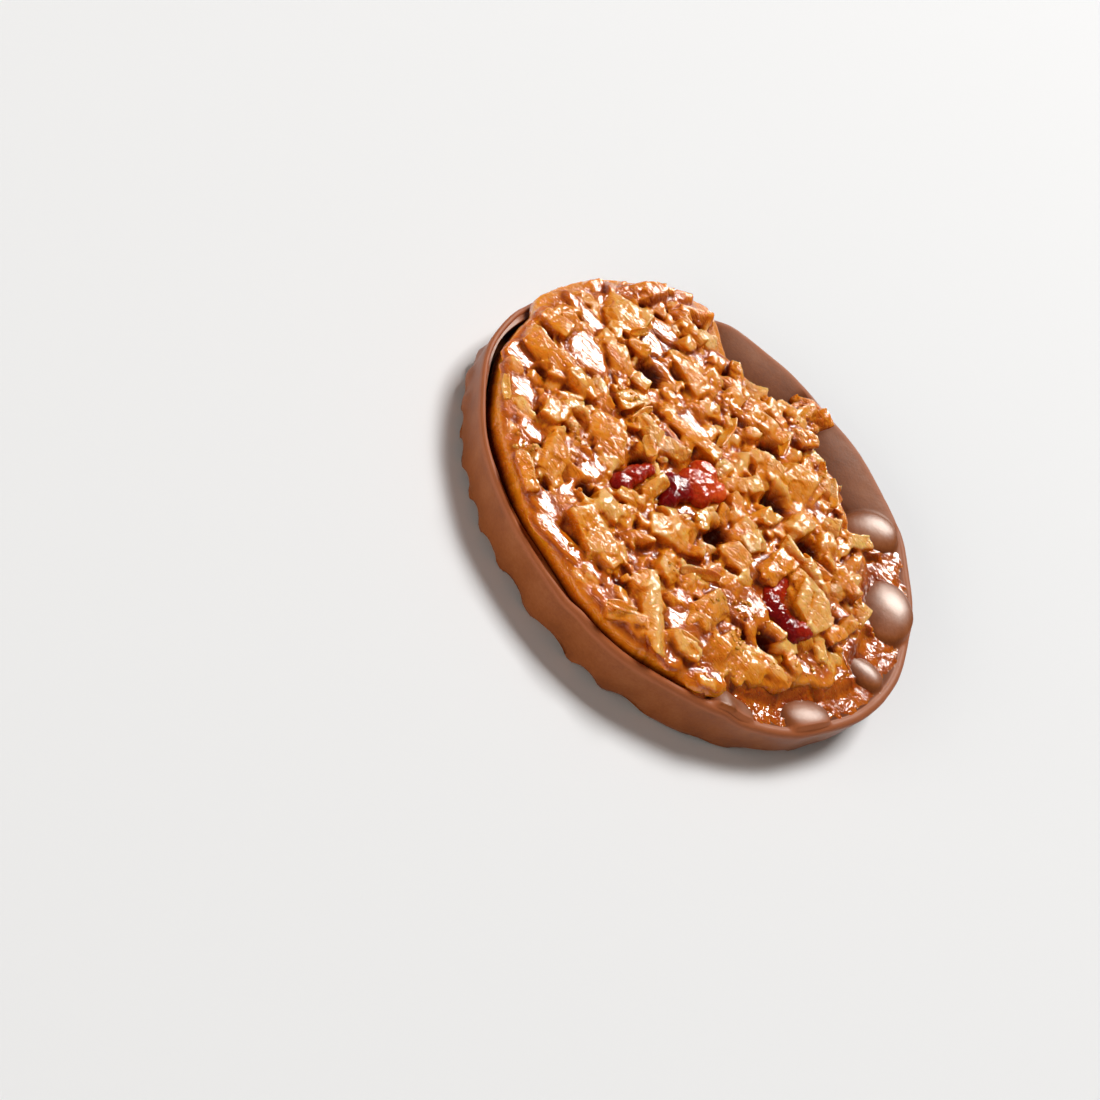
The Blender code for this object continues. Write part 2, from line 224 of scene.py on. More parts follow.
def addShape(bm, shape, *turns):
    # adds a shape, moved by the product of the matrices, and returns its faces
    oldVerts, oldFaces = len(bm.verts), len(bm.faces)
    shape(bm)
    bm.verts.ensure_lookup_table()
    bm.faces.ensure_lookup_table()
    matrix = turns[0]
    for turn in turns[1:]:
        matrix = matrix @ turn
    bmesh.ops.transform(bm, verts=bm.verts[oldVerts:], matrix=matrix)
    return bm.faces[oldFaces:]


def turnAbout(axis, degrees):
    return Matrix.Rotation(math.radians(degrees), 4, axis)


def spinProfile(bm, line, steps):
    # turns a row of points round the middle of the cookie
    edges = [bm.edges.new(pair) for pair in zip(line, line[1:])]
    around = {"cent": (0, 0, 0), "axis": (0, 0, 1), "angle": 2 * math.pi}
    bmesh.ops.spin(bm, geom=line + edges, steps=steps, use_merge=True, **around)


def finishPiece(obj, material, nodes=()):
    # millimetres to metres, then tied to the frame
    obj.data.transform(Matrix.Scale(mm, 4))
    obj.data.shade_smooth()
    obj.data.materials.clear()
    obj.data.materials.append(material)
    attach(obj, "root")
    if nodes:
        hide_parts(*nodes)
    obj.data.calc_loop_triangles()
    print(obj.name, "has", len(obj.data.loop_triangles), "triangles")


def readVectors(data, key):
    vectors = np.empty(len(data) * 3, dtype=np.float32)
    data.foreach_get(key, vectors)
    return vectors.reshape(-1, 3).astype(float)


def readPoints(mesh):
    return readVectors(mesh.vertices, "co")


def readNormals(mesh):
    return readVectors(mesh.vertex_normals, "vector")


def writePoints(mesh, points):
    mesh.vertices.foreach_set("co", points.astype(np.float32).ravel())
    mesh.update()


def meshEdges(mesh):
    edges = np.empty(len(mesh.edges) * 2, dtype=np.int32)
    mesh.edges.foreach_get("vertices", edges)
    return edges.reshape(-1, 2)


def relax(values, edges, rounds, share=0.5):
    # evens values out over neighbouring points
    count = np.bincount(edges.ravel(), minlength=len(values)).clip(1)
    flat = values.reshape(len(values), -1)
    for _ in range(rounds):
        total = np.empty_like(flat)
        for column in range(flat.shape[1]):
            one = flat[:, column]
            total[:, column] = np.bincount(edges[:, 0], one[edges[:, 1]], len(values))
            total[:, column] += np.bincount(edges[:, 1], one[edges[:, 0]], len(values))
        flat = flat + share * (total / count[:, None] - flat)
    return flat.reshape(values.shape)


def noiseField(points, size, seed):
    # one noise value for each point; size is in millimetres
    offset = Vector((seed * 7.31, seed * 3.17, seed * 5.71))
    return np.array([noise.noise(Vector(p) / size + offset) for p in points])


def crumpleField(points, size):
    # flat facets that tilt their own ways, as a crumpled skin has
    heights = []
    for p in points:
        place = Vector(p) / size
        place += 0.35 * noise.noise_vector(place * 1.7)
        nearest = noise.voronoi(place)[1][0]
        tilt = noise.cell_vector(nearest) - Vector((0.5, 0.5, 0.5))
        heights.append((place - nearest).dot(tilt))
    return np.array(heights)


def crumples(points, rows):
    # the sum of crumpled skins: size, depth
    return sum(depth * crumpleField(points, size) for size, depth in rows)


def storeMask(mesh, name, values):
    mask = mesh.attributes.new(name, "FLOAT", "POINT")
    mask.data.foreach_set("value", values.astype(np.float32).ravel())


# node helpers
def addNode(tree, kind, **settings):
    node = tree.nodes.new("ShaderNode" + kind)
    for key, value in settings.items():
        setattr(node, key, value)
    return node


def feed(tree, value, socket):
    # value is a socket, a number, a colour or a vector
    if isinstance(value, bpy.types.NodeSocket):
        tree.links.new(value, socket)
    elif socket.type == "RGBA" and len(value) == 3:
        socket.default_value = (*value, 1.0)
    else:
        socket.default_value = value


def setInputs(tree, node, **values):
    for name, value in values.items():
        feed(tree, value, node.inputs[name.replace("_", " ")])


def mixColours(tree, factor, first, second, blend="MIX"):
    node = addNode(tree, "Mix", data_type="RGBA", blend_type=blend)
    for value, number in ((factor, 0), (first, 6), (second, 7)):
        feed(tree, value, node.inputs[number])
    return node.outputs[2]


def calculate(tree, operation, *values, kind="Math"):
    node = addNode(tree, kind, operation=operation)
    for value, socket in zip(values, node.inputs):
        feed(tree, value, socket)
    return node.outputs["Value" if kind == "Math" or operation == "DOT_PRODUCT" else "Vector"]


def texture(tree, kind, **values):
    node = addNode(tree, "Tex" + kind)
    setInputs(tree, node, **values)
    return node.outputs


def readMask(tree, name):
    node = addNode(tree, "Attribute", attribute_name=name)
    return node.outputs["Fac"]


def ramp(tree, factor, stops):
    node = addNode(tree, "ValToRGB")
    elements = node.color_ramp.elements
    while len(elements) < len(stops):
        elements.new(0.5)
    for element, (place, colour) in zip(elements, stops):
        element.position = place
        element.color = (*colour, 1.0)
    tree.links.new(factor, node.inputs["Fac"])
    return node.outputs["Color"]


def makeGroup(name, inputs, outputs):
    group = bpy.data.node_groups.new(name, "ShaderNodeTree")
    for label, value in inputs.items():
        socket = group.interface.new_socket(name=label, in_out="INPUT", socket_type="NodeSocketFloat")
        socket.default_value = value
    for label in outputs:
        group.interface.new_socket(name=label, in_out="OUTPUT", socket_type="NodeSocketFloat")
    start = group.nodes.new("NodeGroupInput")
    end = group.nodes.new("NodeGroupOutput")
    return group, start, end


def useGroup(tree, group, **values):
    node = tree.nodes.new("ShaderNodeGroup")
    node.node_tree = group
    setInputs(tree, node, **values)
    return node.outputs


def mapping(tree, vector, **values):
    node = addNode(tree, "Mapping")
    setInputs(tree, node, Vector=vector, **values)
    return node.outputs["Vector"]


def millimetres(tree):
    # object coordinates counted in millimetres
    return mapping(tree, addNode(tree, "TexCoord").outputs["Object"], Scale=(1 / mm,) * 3)


def makeMaterial(name):
    material = bpy.data.materials.new(name)
    material.use_nodes = True
    tree = material.node_tree
    return material, tree, tree.nodes["Principled BSDF"]


def bumpNormal(tree, height, strength, distance):
    bump = addNode(tree, "Bump")
    setInputs(tree, bump, Height=height, Strength=strength, Distance=distance * mm)
    return bump.outputs["Normal"]


# shared effects
def makeUneven():
    # cloudy colour change and fine grain, for chocolate, nuts and cherries
    group, start, end = makeGroup(
        "unevenColour", {"Cloud Size": 4.0, "Grain Size": 0.5, "Grain Share": 0.4}, ["Mask", "Grain"]
    )
    place = millimetres(group)
    sizes = {}
    for name, detail in (("Cloud Size", 3.0), ("Grain Size", 4.0)):
        scale = calculate(group, "DIVIDE", 1.0, start.outputs[name])
        sizes[name] = texture(group, "Noise", Vector=place, Scale=scale, Detail=detail, Roughness=0.6)["Fac"]
    grain = calculate(group, "MULTIPLY", sizes["Grain Size"], start.outputs["Grain Share"])
    rest = calculate(group, "SUBTRACT", 1.0, start.outputs["Grain Share"])
    cloud = calculate(group, "MULTIPLY", sizes["Cloud Size"], rest)
    setInputs(group, end, Mask=calculate(group, "ADD", grain, cloud), Grain=sizes["Grain Size"])
    return group


def makeWrinkles():
    # the skin of set caramel and broken nut: soft folds, and flat facets that tilt their own ways
    shares = {"Fold Share": 0.5, "Facet Share": 1.0, "Crack Share": 0.0}
    group, start, end = makeGroup("wetWrinkles", {"Fold Size": 1.0, "Facet Size": 0.8, **shares}, ["Height"])
    place = millimetres(group)
    foldScale = calculate(group, "DIVIDE", 1.0, start.outputs["Fold Size"])
    fold = texture(group, "Noise", Vector=place, Scale=foldScale, Detail=2.0, Roughness=0.5, Distortion=1.2)
    bend = texture(group, "Noise", Vector=place, Scale=1.5, Detail=2.0, Roughness=0.6)
    bent = calculate(group, "ADD", place, bend["Color"], kind="VectorMath")
    facetScale = calculate(group, "DIVIDE", 1.0, start.outputs["Facet Size"])
    facets = texture(group, "Voronoi", Vector=bent, Scale=facetScale)
    reach = calculate(group, "SUBTRACT", bent, facets["Position"], kind="VectorMath")
    tilt = calculate(group, "SUBTRACT", facets["Color"], (0.5, 0.5, 0.5), kind="VectorMath")
    slope = calculate(group, "DOT_PRODUCT", reach, tilt, kind="VectorMath")
    # short cracks that run mostly one way
    stretched = mapping(group, place, Rotation=(0, 0, math.radians(-35)), Scale=(0.45, 1.7, 0.8))
    lines = texture(group, "Noise", Vector=stretched, Scale=1.0, Detail=1.5, Roughness=0.6, Distortion=0.8)
    off = calculate(group, "ABSOLUTE", calculate(group, "SUBTRACT", lines["Fac"], 0.5))
    crack = calculate(group, "MINIMUM", calculate(group, "DIVIDE", off, 0.05), 1.0)
    parts = [
        calculate(group, "MULTIPLY", height, start.outputs[share])
        for share, height in zip(shares, (fold["Fac"], slope, crack))
    ]
    total = calculate(group, "ADD", calculate(group, "ADD", parts[0], parts[1]), parts[2])
    setInputs(group, end, Height=total)
    return group


unevenColour = makeUneven()
wetWrinkles = makeWrinkles()


# chocolate
chocolate = {
    "steps": 480,
    "wallRows": 12,
    "bayRows": 26,
    "underRows": 58,
    "draft": 0.10,
    "corner": 0.45,
    "floor": 2.8,
    "combPitch": 4.2,
    "combDepth": 1.1,
    "combDirection": 48.0,
    "combSway": 1.3,
    "combWavelength": 17.0,
    "ridgeFlat": 0.14,
    "knobs": [-165.0, -157.0, -149.5],
    "knobSize": 0.55,
    "knobWidth": 2.6,
    # stretches: how much, from angle, to angle, soft ends
    "thinRim": [(0.42, 176, 262, 20)],
    "scallopSide": [(0.16, -146, -50, 20)],
    # ripples of the wall: depth, count, phase
    "wallRipple": (0.07, 23, 60),
    "scallops": (19, 40),
    # soft lumps: size, seed, depth
    "lumps": [(3.5, 1, 0.05), (1.1, 2, 0.018)],
    # how far in the paler rim band runs; the band is partly painted edge light
    "crestRun": 1.2,
    # painted shade on the bank beside the nuts: how far it runs and how dark it gets at most
    "shadeRun": 11.0,
    "shadeMost": 0.95,
    "dark": (0.150, 0.038, 0.010),
    "middle": (0.275, 0.075, 0.018),
    "light": (0.40, 0.135, 0.044),
    # paler rim colour: partly painted edge light, partly the thin rim's redder colour
    "terracotta": (0.42, 0.125, 0.048),
    # colour of the painted shade, multiplied into the chocolate
    "shadeTint": (0.34, 0.28, 0.26),
    "roughness": 0.38,
}


def grooveHeight(x, y):
    # concave grooves between narrow ridges, drawn in waves over the underside
    turn = math.radians(chocolate["combDirection"])
    along = x * math.cos(turn) + y * math.sin(turn)
    across = y * math.cos(turn) - x * math.sin(turn)
    across -= chocolate["combSway"] * math.sin(2 * math.pi * along / chocolate["combWavelength"])
    share = (across / chocolate["combPitch"]) % 1.0
    half = chocolate["ridgeFlat"] / 2
    t = clamp((share - half) / (1 - 2 * half))
    return chocolate["combDepth"] * math.sin(math.pi * t) ** 0.6


def knobs(angle):
    # blunt knobs where the chocolate ran down the comb on one side
    width = chocolate["knobWidth"]
    return max(math.exp(-((angleBetween(angle, at) / width) ** 2)) for at in chocolate["knobs"])


def shellProfile():
    # (region, share along it) from the middle of the underside round to the middle inside
    rows = [("under", row / chocolate["underRows"]) for row in range(chocolate["underRows"])]
    rows += [("corner", row / 6) for row in range(6)]
    rows += [("wall", row / chocolate["wallRows"]) for row in range(chocolate["wallRows"])]
    rows += [("rim", row / 8) for row in range(9)]
    rows += [("bay", (row + 1) / chocolate["bayRows"]) for row in range(chocolate["bayRows"])]
    rows += [("inside", row / 4) for row in range(1, 5)]
    rows += [("floor", row / 6) for row in range(1, 7)]
    return rows


def wallRadius(share, angle, foot):
    radius = foot + (cookie["radius"] - foot) * share + outlineShift(angle)
    depth, count, phase = chocolate["wallRipple"]
    radius += depth * wave(angle, count, phase * share) * math.sin(math.pi * share)
    radius += chocolate["knobSize"] * knobs(angle) * math.sin(math.pi * clamp(share * 1.6)) ** 2
    scallop = stretches(angle, chocolate["scallopSide"]) * wave(angle, *chocolate["scallops"])
    return radius + scallop * (1 - share)


def shellPoint(region, share, angle):
    shift = outlineShift(angle)
    rise = rimHeight(angle) - cookie["rimHeight"]
    corner = chocolate["corner"]
    wallTop = cookie["rimHeight"] - cookie["rimThickness"] / 2
    foot = cookie["radius"] - chocolate["draft"] * (cookie["rimHeight"] - corner)
    inside = rimInside(angle) + stretches(angle, chocolate["thinRim"])
    rim = (cookie["radius"] + shift - inside) / 2
    inBay = bayReach(angle) > 0
    if region == "under":
        return share * (foot + shift - corner), 0.0
    if region == "corner":
        lean = math.radians(90 * (1 - share))
        return foot + shift - corner * (1 - math.cos(lean)), corner * (1 - math.sin(lean))
    if region == "wall":
        return wallRadius(share, angle, foot), corner + (wallTop - corner) * share + rise * share
    if region == "rim":
        lean = math.radians(180 * share)
        radius = cookie["radius"] + shift - rim + rim * math.cos(lean)
        height = cookie["rimHeight"] + rise - rim * (1 - math.sin(lean))
        if share > 0.5 and inBay:
            height = softMax(height, bankHeight(angle, radius), 0.25)
        return radius, height
    edge = fillingEdge(angle) + sideGap(angle)
    narrow = cookie["rimHeight"] + rise - rim
    if region == "bay":
        radius = inside + (edge - inside) * share
        return radius, bankHeight(angle, radius) if inBay else narrow
    if region == "inside":
        top = bankHeight(angle, edge) if inBay else narrow
        return edge, top + (chocolate["floor"] - top) * share
    return edge * (1 - share), chocolate["floor"]


def shellMasks(region, radius, angle, height):
    # crest, shade and swell: the paler rim (partly painted edge light, partly the thin rim's redder colour),
    # the painted shade on the bank beside the nuts and on the inside wall and floor under them, the smooth
    # swells
    inBay = bayReach(angle) > 0
    inward = (rimInside(angle) + 0.3 - radius) / chocolate["crestRun"]
    onRim = (region == "rim" or region == "bay" and inBay) and height < 6.9
    crest = 1 - smoothStep(inward) if onRim else 0.0
    # the inside wall and floor under the filling get full painted shade
    if region != "bay" or not inBay:
        return crest, 1.0 if region in ("inside", "floor") else 0.0, 0.0
    swell = swellHeight(angle, radius)
    near = (radius - fillingEdge(angle) - 0.4) / chocolate["shadeRun"]
    shade = chocolate["shadeMost"] * (1 - smoothStep(near)) * (1 - clamp(swell))
    return crest, shade, clamp(swell - 0.6)


def makeChocolateShell():
    rows = shellProfile()
    bm = bmesh.new()
    rowTag = bm.verts.layers.int.new("row")
    masks = [bm.verts.layers.float.new(name) for name in ("crest", "shade", "swell")]
    line = []
    for index, (region, share) in enumerate(rows):
        radius, height = shellPoint(region, share, 0.0)
        vert = bm.verts.new((radius, 0.0, height))
        vert[rowTag] = index
        line.append(vert)
    spinProfile(bm, line, chocolate["steps"])
    for vert in bm.verts:
        angle = polar(vert.co.x, vert.co.y)[1]
        region, share = rows[vert[rowTag]]
        radius, height = shellPoint(region, share, angle)
        x, y = flatPlace(radius, angle)
        if region in ("under", "corner", "wall"):
            height = max(height, grooveHeight(x, y))
        vert.co = (x, y, height)
    for vert in bm.verts:
        region = rows[vert[rowTag]][0]
        for mask, value in zip(masks, shellMasks(region, *polar(vert.co.x, vert.co.y), vert.co.z)):
            vert[mask] = value
    bmesh.ops.remove_doubles(bm, verts=bm.verts, dist=0.0005)
    bmesh.ops.recalc_face_normals(bm, faces=bm.faces)
    obj = meshObject("chocolateShell", bm)
    points = readPoints(obj.data)
    normals = readNormals(obj.data)
    soft = sum(noiseField(points, size, seed) * depth for size, seed, depth in chocolate["lumps"])
    writePoints(obj.data, points + normals * soft[:, None] * (points[:, 2:] > 0.4))
    finishPiece(obj, milkChocolate(), ["chocolate_case"])


def milkChocolate():
    material, tree, shader = makeMaterial("milkChocolate")
    uneven = useGroup(tree, unevenColour, Cloud_Size=5.0, Grain_Size=0.35, Grain_Share=0.35)
    masks = {name: readMask(tree, name) for name in ("crest", "shade", "swell")}
    stops = [(0.20, chocolate["dark"]), (0.50, chocolate["middle"]), (0.85, chocolate["light"])]
    # the rim crest mixes in the paler terracotta: partly painted edge light, partly the thin rim's redder
    # colour
    crest = calculate(tree, "MULTIPLY", masks["crest"], 0.7)
    colour = mixColours(tree, crest, ramp(tree, uneven["Mask"], stops), chocolate["terracotta"])
    # painted shade multiplied in beside the nuts and under them
    colour = mixColours(tree, masks["shade"], colour, chocolate["shadeTint"], "MULTIPLY")
    rough = calculate(tree, "MULTIPLY_ADD", uneven["Grain"], 0.16, chocolate["roughness"] - 0.08)
    for name, change in (("shade", 0.75), ("crest", 0.15), ("swell", -0.07)):
        rough = calculate(tree, "MULTIPLY_ADD", masks[name], change, rough)
    setInputs(tree, shader, Base_Color=colour, Roughness=rough, IOR=1.45, Specular_IOR_Level=0.30)
    # the swells are the smoothest chocolate
    coat = calculate(tree, "MULTIPLY", masks["swell"], 0.6)
    setInputs(tree, shader, Coat_Weight=coat, Coat_Roughness=0.38, Coat_IOR=1.5)
    setInputs(tree, shader, Normal=bumpNormal(tree, uneven["Grain"], 0.35, 0.06))
    return material


makeChocolateShell()
print("chocolate shell made")


# nut top
nuts = {
    "seed": 21,
    "caramelEdge": 7.5,
    "caramelCrown": 8.3,
    "crownRun": 9.0,
    "rounding": 0.6,
    "bottom": 4.2,
    "voxel": 0.18,
    "keep": 0.43,
    "halfHeight": 1.0,
    "shapes": 24,
    # scattered pieces: how many, half lengths, half widths, half heights, spacing
    "kinds": [
        (150, (1.2, 2.2), (0.8, 1.4), (0.7, 1.0), 2.2),
        (330, (0.5, 1.1), (0.4, 0.7), (0.5, 0.9), 1.1),
    ],
    # lower film: from angle, to angle, depth, how far in
    "dips": [
        (-60, -8, 0.9, 3.5), (-8, 45, 0.5, 2.5), (84, 92, 0.4, 2.0),
    ],
    "bareDip": 1.4,
    "dipSoft": 7,
    "dipRun": 3.0,
    "filmTone": 0.38,
    "filmDrop": 0.3,
    "closing": (4, 2),
    "filmRounds": 10,
    "levelRounds": 90,
    "creaseRounds": 12,
    "wrinkle": 0.05,
    # hollows: how deep they sink, and how much painted shade darkens them
    "hollowDepth": 2.2,
    "hollowTone": 0.5,
    # pieces tip towards -Y: least and most angle in radians, most rise
    "tip": (0.0, 0.40),
    "tipRise": 0.6,
    "poolLift": 0.30,
    "poolHalf": 0.5,
    "topGap": 0.22,
    "steps": 240,
    # tone: more when high and less in creases (painted shade low down and in the creases, partly the thicker
    # caramel there), more when level (painted light on faces turned up), more in all
    "toneChange": (0.36, 2.1, 0.32, 0.02),
    # outer side: tone at its foot (painted shade in the gap by the wall), how much lighter above, from
    # height, over height
    "sideTone": (0.22, 0.46, 5.2, 1.6),
    # crumpled facets: size, depth on nuts, depth on caramel film
    "crumples": [(2.6, 0.33, 0.22), (1.3, 0.13, 0.09), (0.7, 0.03, 0.02)],
    "poolCrumple": 0.22,
    # large pieces: x, y, half length, half width, turn, lift, tone
    "large": [
        (-24.4, 13.6, 5.2, 1.5, 56, 0.00, 0.45), (-17.2, 19.6, 2.4, 1.1, 42, 0.18, 0.50),
        (-22.5, 8.4, 3.0, 2.4, 10, 0.36, 0.72), (-16.0, 16.0, 2.1, 1.0, -5, 0.36, 0.70),
        (-15.2, 13.6, 1.5, 1.0, 85, 0.41, 0.60), (-18.0, 5.9, 2.1, 1.1, 10, 0.32, 0.58),
        (-12.0, 10.5, 3.7, 2.1, -14, 0.36, 0.66), (-8.4, 17.6, 1.6, 1.1, -60, 0.27, 0.60),
        (-6.5, 13.4, 2.4, 1.5, 80, 0.36, 0.66), (-1.3, 14.4, 2.7, 1.6, -8, 0.36, 0.68),
        (-2.0, 10.2, 1.5, 1.0, 25, 0.32, 0.60), (-7.2, 1.5, 4.9, 1.1, 6, 0.41, 0.62),
        (-18.8, 1.9, 2.6, 1.4, -32, 0.32, 0.66), (-26.5, -2.0, 2.0, 1.3, 10, 0.23, 0.62),
        (-23.6, -7.5, 3.8, 1.6, -4, 0.36, 0.60), (-19.2, -6.8, 1.9, 1.6, -20, 0.41, 0.72),
        (-25.8, -12.6, 1.3, 0.7, -10, 0.18, 0.66), (-18.5, -13.9, 2.0, 1.5, -75, 0.36, 0.66),
        (-17.0, -10.5, 1.9, 1.0, 22, 0.36, 0.76), (-12.8, -9.9, 3.1, 2.4, -60, 0.41, 0.64),
        (-10.0, -3.3, 2.1, 1.2, 5, 0.41, 0.80), (-6.2, -2.6, 1.7, 1.1, 15, 0.41, 0.78),
        (-14.2, -3.0, 1.9, 1.3, 80, 0.32, 0.74), (-4.9, -10.6, 2.4, 1.0, 84, 0.41, 0.68),
        (-5.8, -14.5, 1.7, 1.1, 10, 0.27, 0.72), (-15.0, -18.8, 3.2, 1.9, 105, 0.36, 0.62),
        (-6.8, -18.8, 2.2, 1.7, 0, 0.36, 0.80), (-4.8, -22.8, 3.8, 2.3, -22, 0.36, 0.68),
        (-15.3, -23.8, 2.5, 1.0, -34, 0.23, 0.60), (0.0, -13.4, 2.6, 1.8, 35, 0.36, 0.70),
        (-1.6, -17.6, 1.4, 1.0, 60, 0.32, 0.62), (5.4, -2.6, 1.8, 1.0, 82, 0.45, 0.78),
        (7.5, -3.5, 1.8, 1.2, 70, 0.41, 0.80), (1.7, -7.6, 2.2, 1.2, 78, 0.36, 0.70),
        (7.0, -7.9, 1.9, 1.5, 0, 0.36, 0.66), (11.2, -4.0, 2.8, 1.5, 84, 0.36, 0.58),
        (17.2, -3.8, 3.1, 2.0, -14, 0.45, 0.82), (21.8, -12.7, 1.7, 1.0, -10, 0.32, 0.60),
        (9.3, -17.6, 2.4, 1.7, 80, 0.36, 0.66), (14.0, -19.2, 2.9, 2.1, 75, 0.32, 0.62),
        (18.0, -18.8, 2.5, 2.2, 40, 0.36, 0.70), (2.8, -18.4, 1.8, 1.2, -12, 0.32, 0.66),
        (5.0, -24.6, 5.6, 1.3, -47, 0.36, 0.80), (10.2, -24.2, 1.9, 1.0, 22, 0.27, 0.76),
        (3.2, -27.6, 2.3, 0.9, 40, 0.23, 0.66), (14.6, -25.0, 1.5, 0.8, 30, 0.14, 0.64),
        (22.3, -16.6, 1.8, 1.5, 50, 0.23, 0.52), (19.6, -14.9, 1.4, 0.9, 10, 0.36, 0.80),
        (5.6, 10.6, 2.7, 2.2, 15, 0.41, 0.72), (1.4, 8.4, 2.8, 1.4, 8, 0.36, 0.76),
        (9.8, 5.2, 2.2, 1.4, 84, 0.36, 0.74), (17.3, 4.4, 3.2, 1.6, -12, 0.32, 0.64),
        (13.6, 6.6, 1.6, 1.3, -40, 0.32, 0.66), (8.6, 15.0, 2.0, 1.2, 110, 0.23, 0.62),
        (0.9, 23.6, 1.8, 1.2, 86, -0.25, 0.60), (2.8, 18.8, 1.8, 1.2, 50, 0.18, 0.58),
        (2.6, 3.7, 1.5, 1.3, 60, 0.41, 0.78), (6.4, 1.9, 1.5, 1.1, 70, 0.36, 0.72),
        (11.3, 0.9, 1.7, 1.1, 10, 0.36, 0.78), (15.2, 0.7, 2.2, 1.1, -5, 0.36, 0.80),
        (21.2, -3.4, 1.4, 1.1, 75, 0.23, 0.60),
        # lumps that run over the rim
        (-20.2, 21.2, 1.9, 1.2, 44, -0.60, 0.42), (-22.4, 18.8, 2.4, 1.0, 52, -0.80, 0.50),
        (-25.6, 14.2, 1.8, 0.9, 60, -0.90, 0.56), (-27.6, 9.6, 2.2, 1.0, 72, -0.80, 0.52),
        (-28.8, 5.0, 1.8, 0.8, 80, -0.90, 0.58),
    ],
    # hollows between pieces: x, y, radius
    "hollows": [
        (1.1, 11.8, 1.5), (4.0, -6.9, 1.7), (-15.0, 4.6, 1.7), (12.6, 3.6, 1.4), (16.2, -12.6, 1.4),
        (6.0, 5.4, 2.1), (-7.6, -8.6, 1.2), (-7.6, -12.2, 1.3), (-9.6, -18.6, 1.0),
    ],
    # smooth pools of caramel: x, y, half length, half width, turn
    "pools": [
        (-21.5, -1.6, 2.8, 2.1, 0), (-26.6, -5.3, 1.9, 0.6, 10), (-27.0, -10.2, 1.7, 2.2, 0),
        (-23.2, -13.8, 3.2, 1.4, -25), (-22.2, -17.0, 1.8, 0.9, -60), (-18.6, -17.6, 1.8, 1.7, 0),
        (-17.2, -21.4, 2.6, 1.0, -52), (-13.8, -5.8, 1.5, 0.8, -30), (-21.2, -5.2, 3.2, 0.6, -5),
        (-11.2, -15.2, 2.2, 1.6, -80), (-14.6, -13.2, 1.4, 1.0, 0), (-10.4, -20.2, 2.3, 1.1, 90),
        (-11.6, -24.4, 2.7, 1.4, -5), (-6.4, -27.2, 4.6, 1.2, 4), (1.8, -27.8, 2.4, 0.9, 4),
        (-0.6, -25.8, 1.9, 0.6, -45), (-1.9, -17.4, 1.5, 0.9, 70), (-2.8, -13.6, 1.4, 0.7, 90),
        (2.8, -18.0, 1.5, 0.9, 0), (6.4, -19.0, 1.3, 1.2, 0), (7.8, -21.8, 2.4, 1.5, 30),
        (11.3, -21.0, 1.9, 0.8, 90), (16.4, -22.4, 2.2, 1.2, 75), (14.2, -24.4, 2.7, 1.7, 30),
        (9.8, -26.4, 1.6, 1.3, 0), (9.0, -15.2, 1.8, 1.1, 90), (12.4, -11.0, 2.6, 1.9, -15),
        (9.0, -5.2, 1.4, 1.0, 90), (22.0, -7.4, 1.5, 1.0, 0), (22.8, -9.6, 1.7, 1.6, 0),
        (25.6, -8.8, 1.6, 1.0, 70), (22.4, -12.0, 1.4, 1.0, 30), (13.8, -16.4, 1.5, 1.2, 0),
        (11.0, -13.8, 1.6, 0.9, 0), (21.6, -17.2, 1.7, 1.2, 20), (20.4, -20.2, 1.5, 1.0, 40),
        (23.0, -13.0, 0.9, 0.8, 0), (1.2, -8.8, 1.3, 0.8, 0), (3.6, 11.6, 2.2, 1.4, 40),
        (10.2, 9.8, 2.2, 1.3, 90), (1.4, 18.4, 1.6, 0.9, 90), (5.4, 17.4, 0.9, 0.7, 90),
        (14.0, 5.6, 1.3, 0.9, 60), (18.0, 6.4, 1.6, 1.0, 0), (20.4, 1.2, 2.8, 1.0, 10),
        (18.4, 12.0, 1.3, 0.9, 90), (-18.4, 12.8, 2.2, 1.4, 10), (-18.2, 9.0, 2.0, 1.7, -10),
        (-25.2, 8.6, 1.4, 1.2, 0), (-24.6, 4.0, 4.0, 1.2, -3), (-22.4, 0.8, 2.2, 1.1, 0),
        (-11.4, 17.6, 2.4, 1.4, 30), (-13.2, 13.2, 1.5, 1.3, 90), (-9.2, 12.6, 2.0, 0.9, -60),
        (-9.4, 4.8, 2.6, 1.0, -35), (-7.6, 3.8, 3.2, 1.1, 0), (-14.6, 7.0, 1.8, 0.7, 0),
        (-6.6, 8.8, 1.3, 0.8, -30), (-28.6, -1.4, 1.6, 0.7, 90), (-13.0, 1.6, 1.4, 1.0, 90),
        (-14.8, -2.4, 1.6, 1.3, 90),
    ],
}


topLimit = nutTopHeight + nuts["topGap"]


def edgeDip(radius, angle):
    # the caramel thins to a low film where it runs out between two bays
    room = fillingEdge(angle) - radius
    run, soft = nuts["dipRun"], nuts["dipSoft"]
    return max(
        depth * span(angle, start, end, soft) * (1 - smoothStep((room - reach) / run))
        for start, end, depth, reach in nuts["dips"]
    )


def caramelLevel(radius, angle):
    inward = clamp((fillingEdge(angle) - radius) / nuts["crownRun"])
    level = nuts["caramelEdge"] + (nuts["caramelCrown"] - nuts["caramelEdge"]) * inward
    return level - edgeDip(radius, angle)


def caramelProfile():
    # part, radius and height of each point, from the foot of the side to the crown
    edge = cookie["fillingRadius"]
    outer = edge + cookie["rimThickness"]
    rounding = nuts["rounding"]
    low, high, drop = nuts["caramelEdge"], nuts["caramelCrown"], nuts["filmDrop"]
    return [
        ("side", edge, nuts["bottom"] - 1.0),
        ("side", edge, cookie["rimHeight"]),
        ("lip", outer, cookie["rimHeight"] + 0.15),
        ("lip", outer, low - rounding),
        ("top", edge - 0.3 * rounding, low - 0.3 * rounding),
        ("top", edge - rounding, low),
        ("top", edge - 2.0, low - 0.4 * drop),
        ("top", edge - 3.6, low - drop),
        ("top", edge - 6.0, low + 0.5 * (high - low) - drop),
        ("top", edge - nuts["crownRun"], high - drop),
    ]


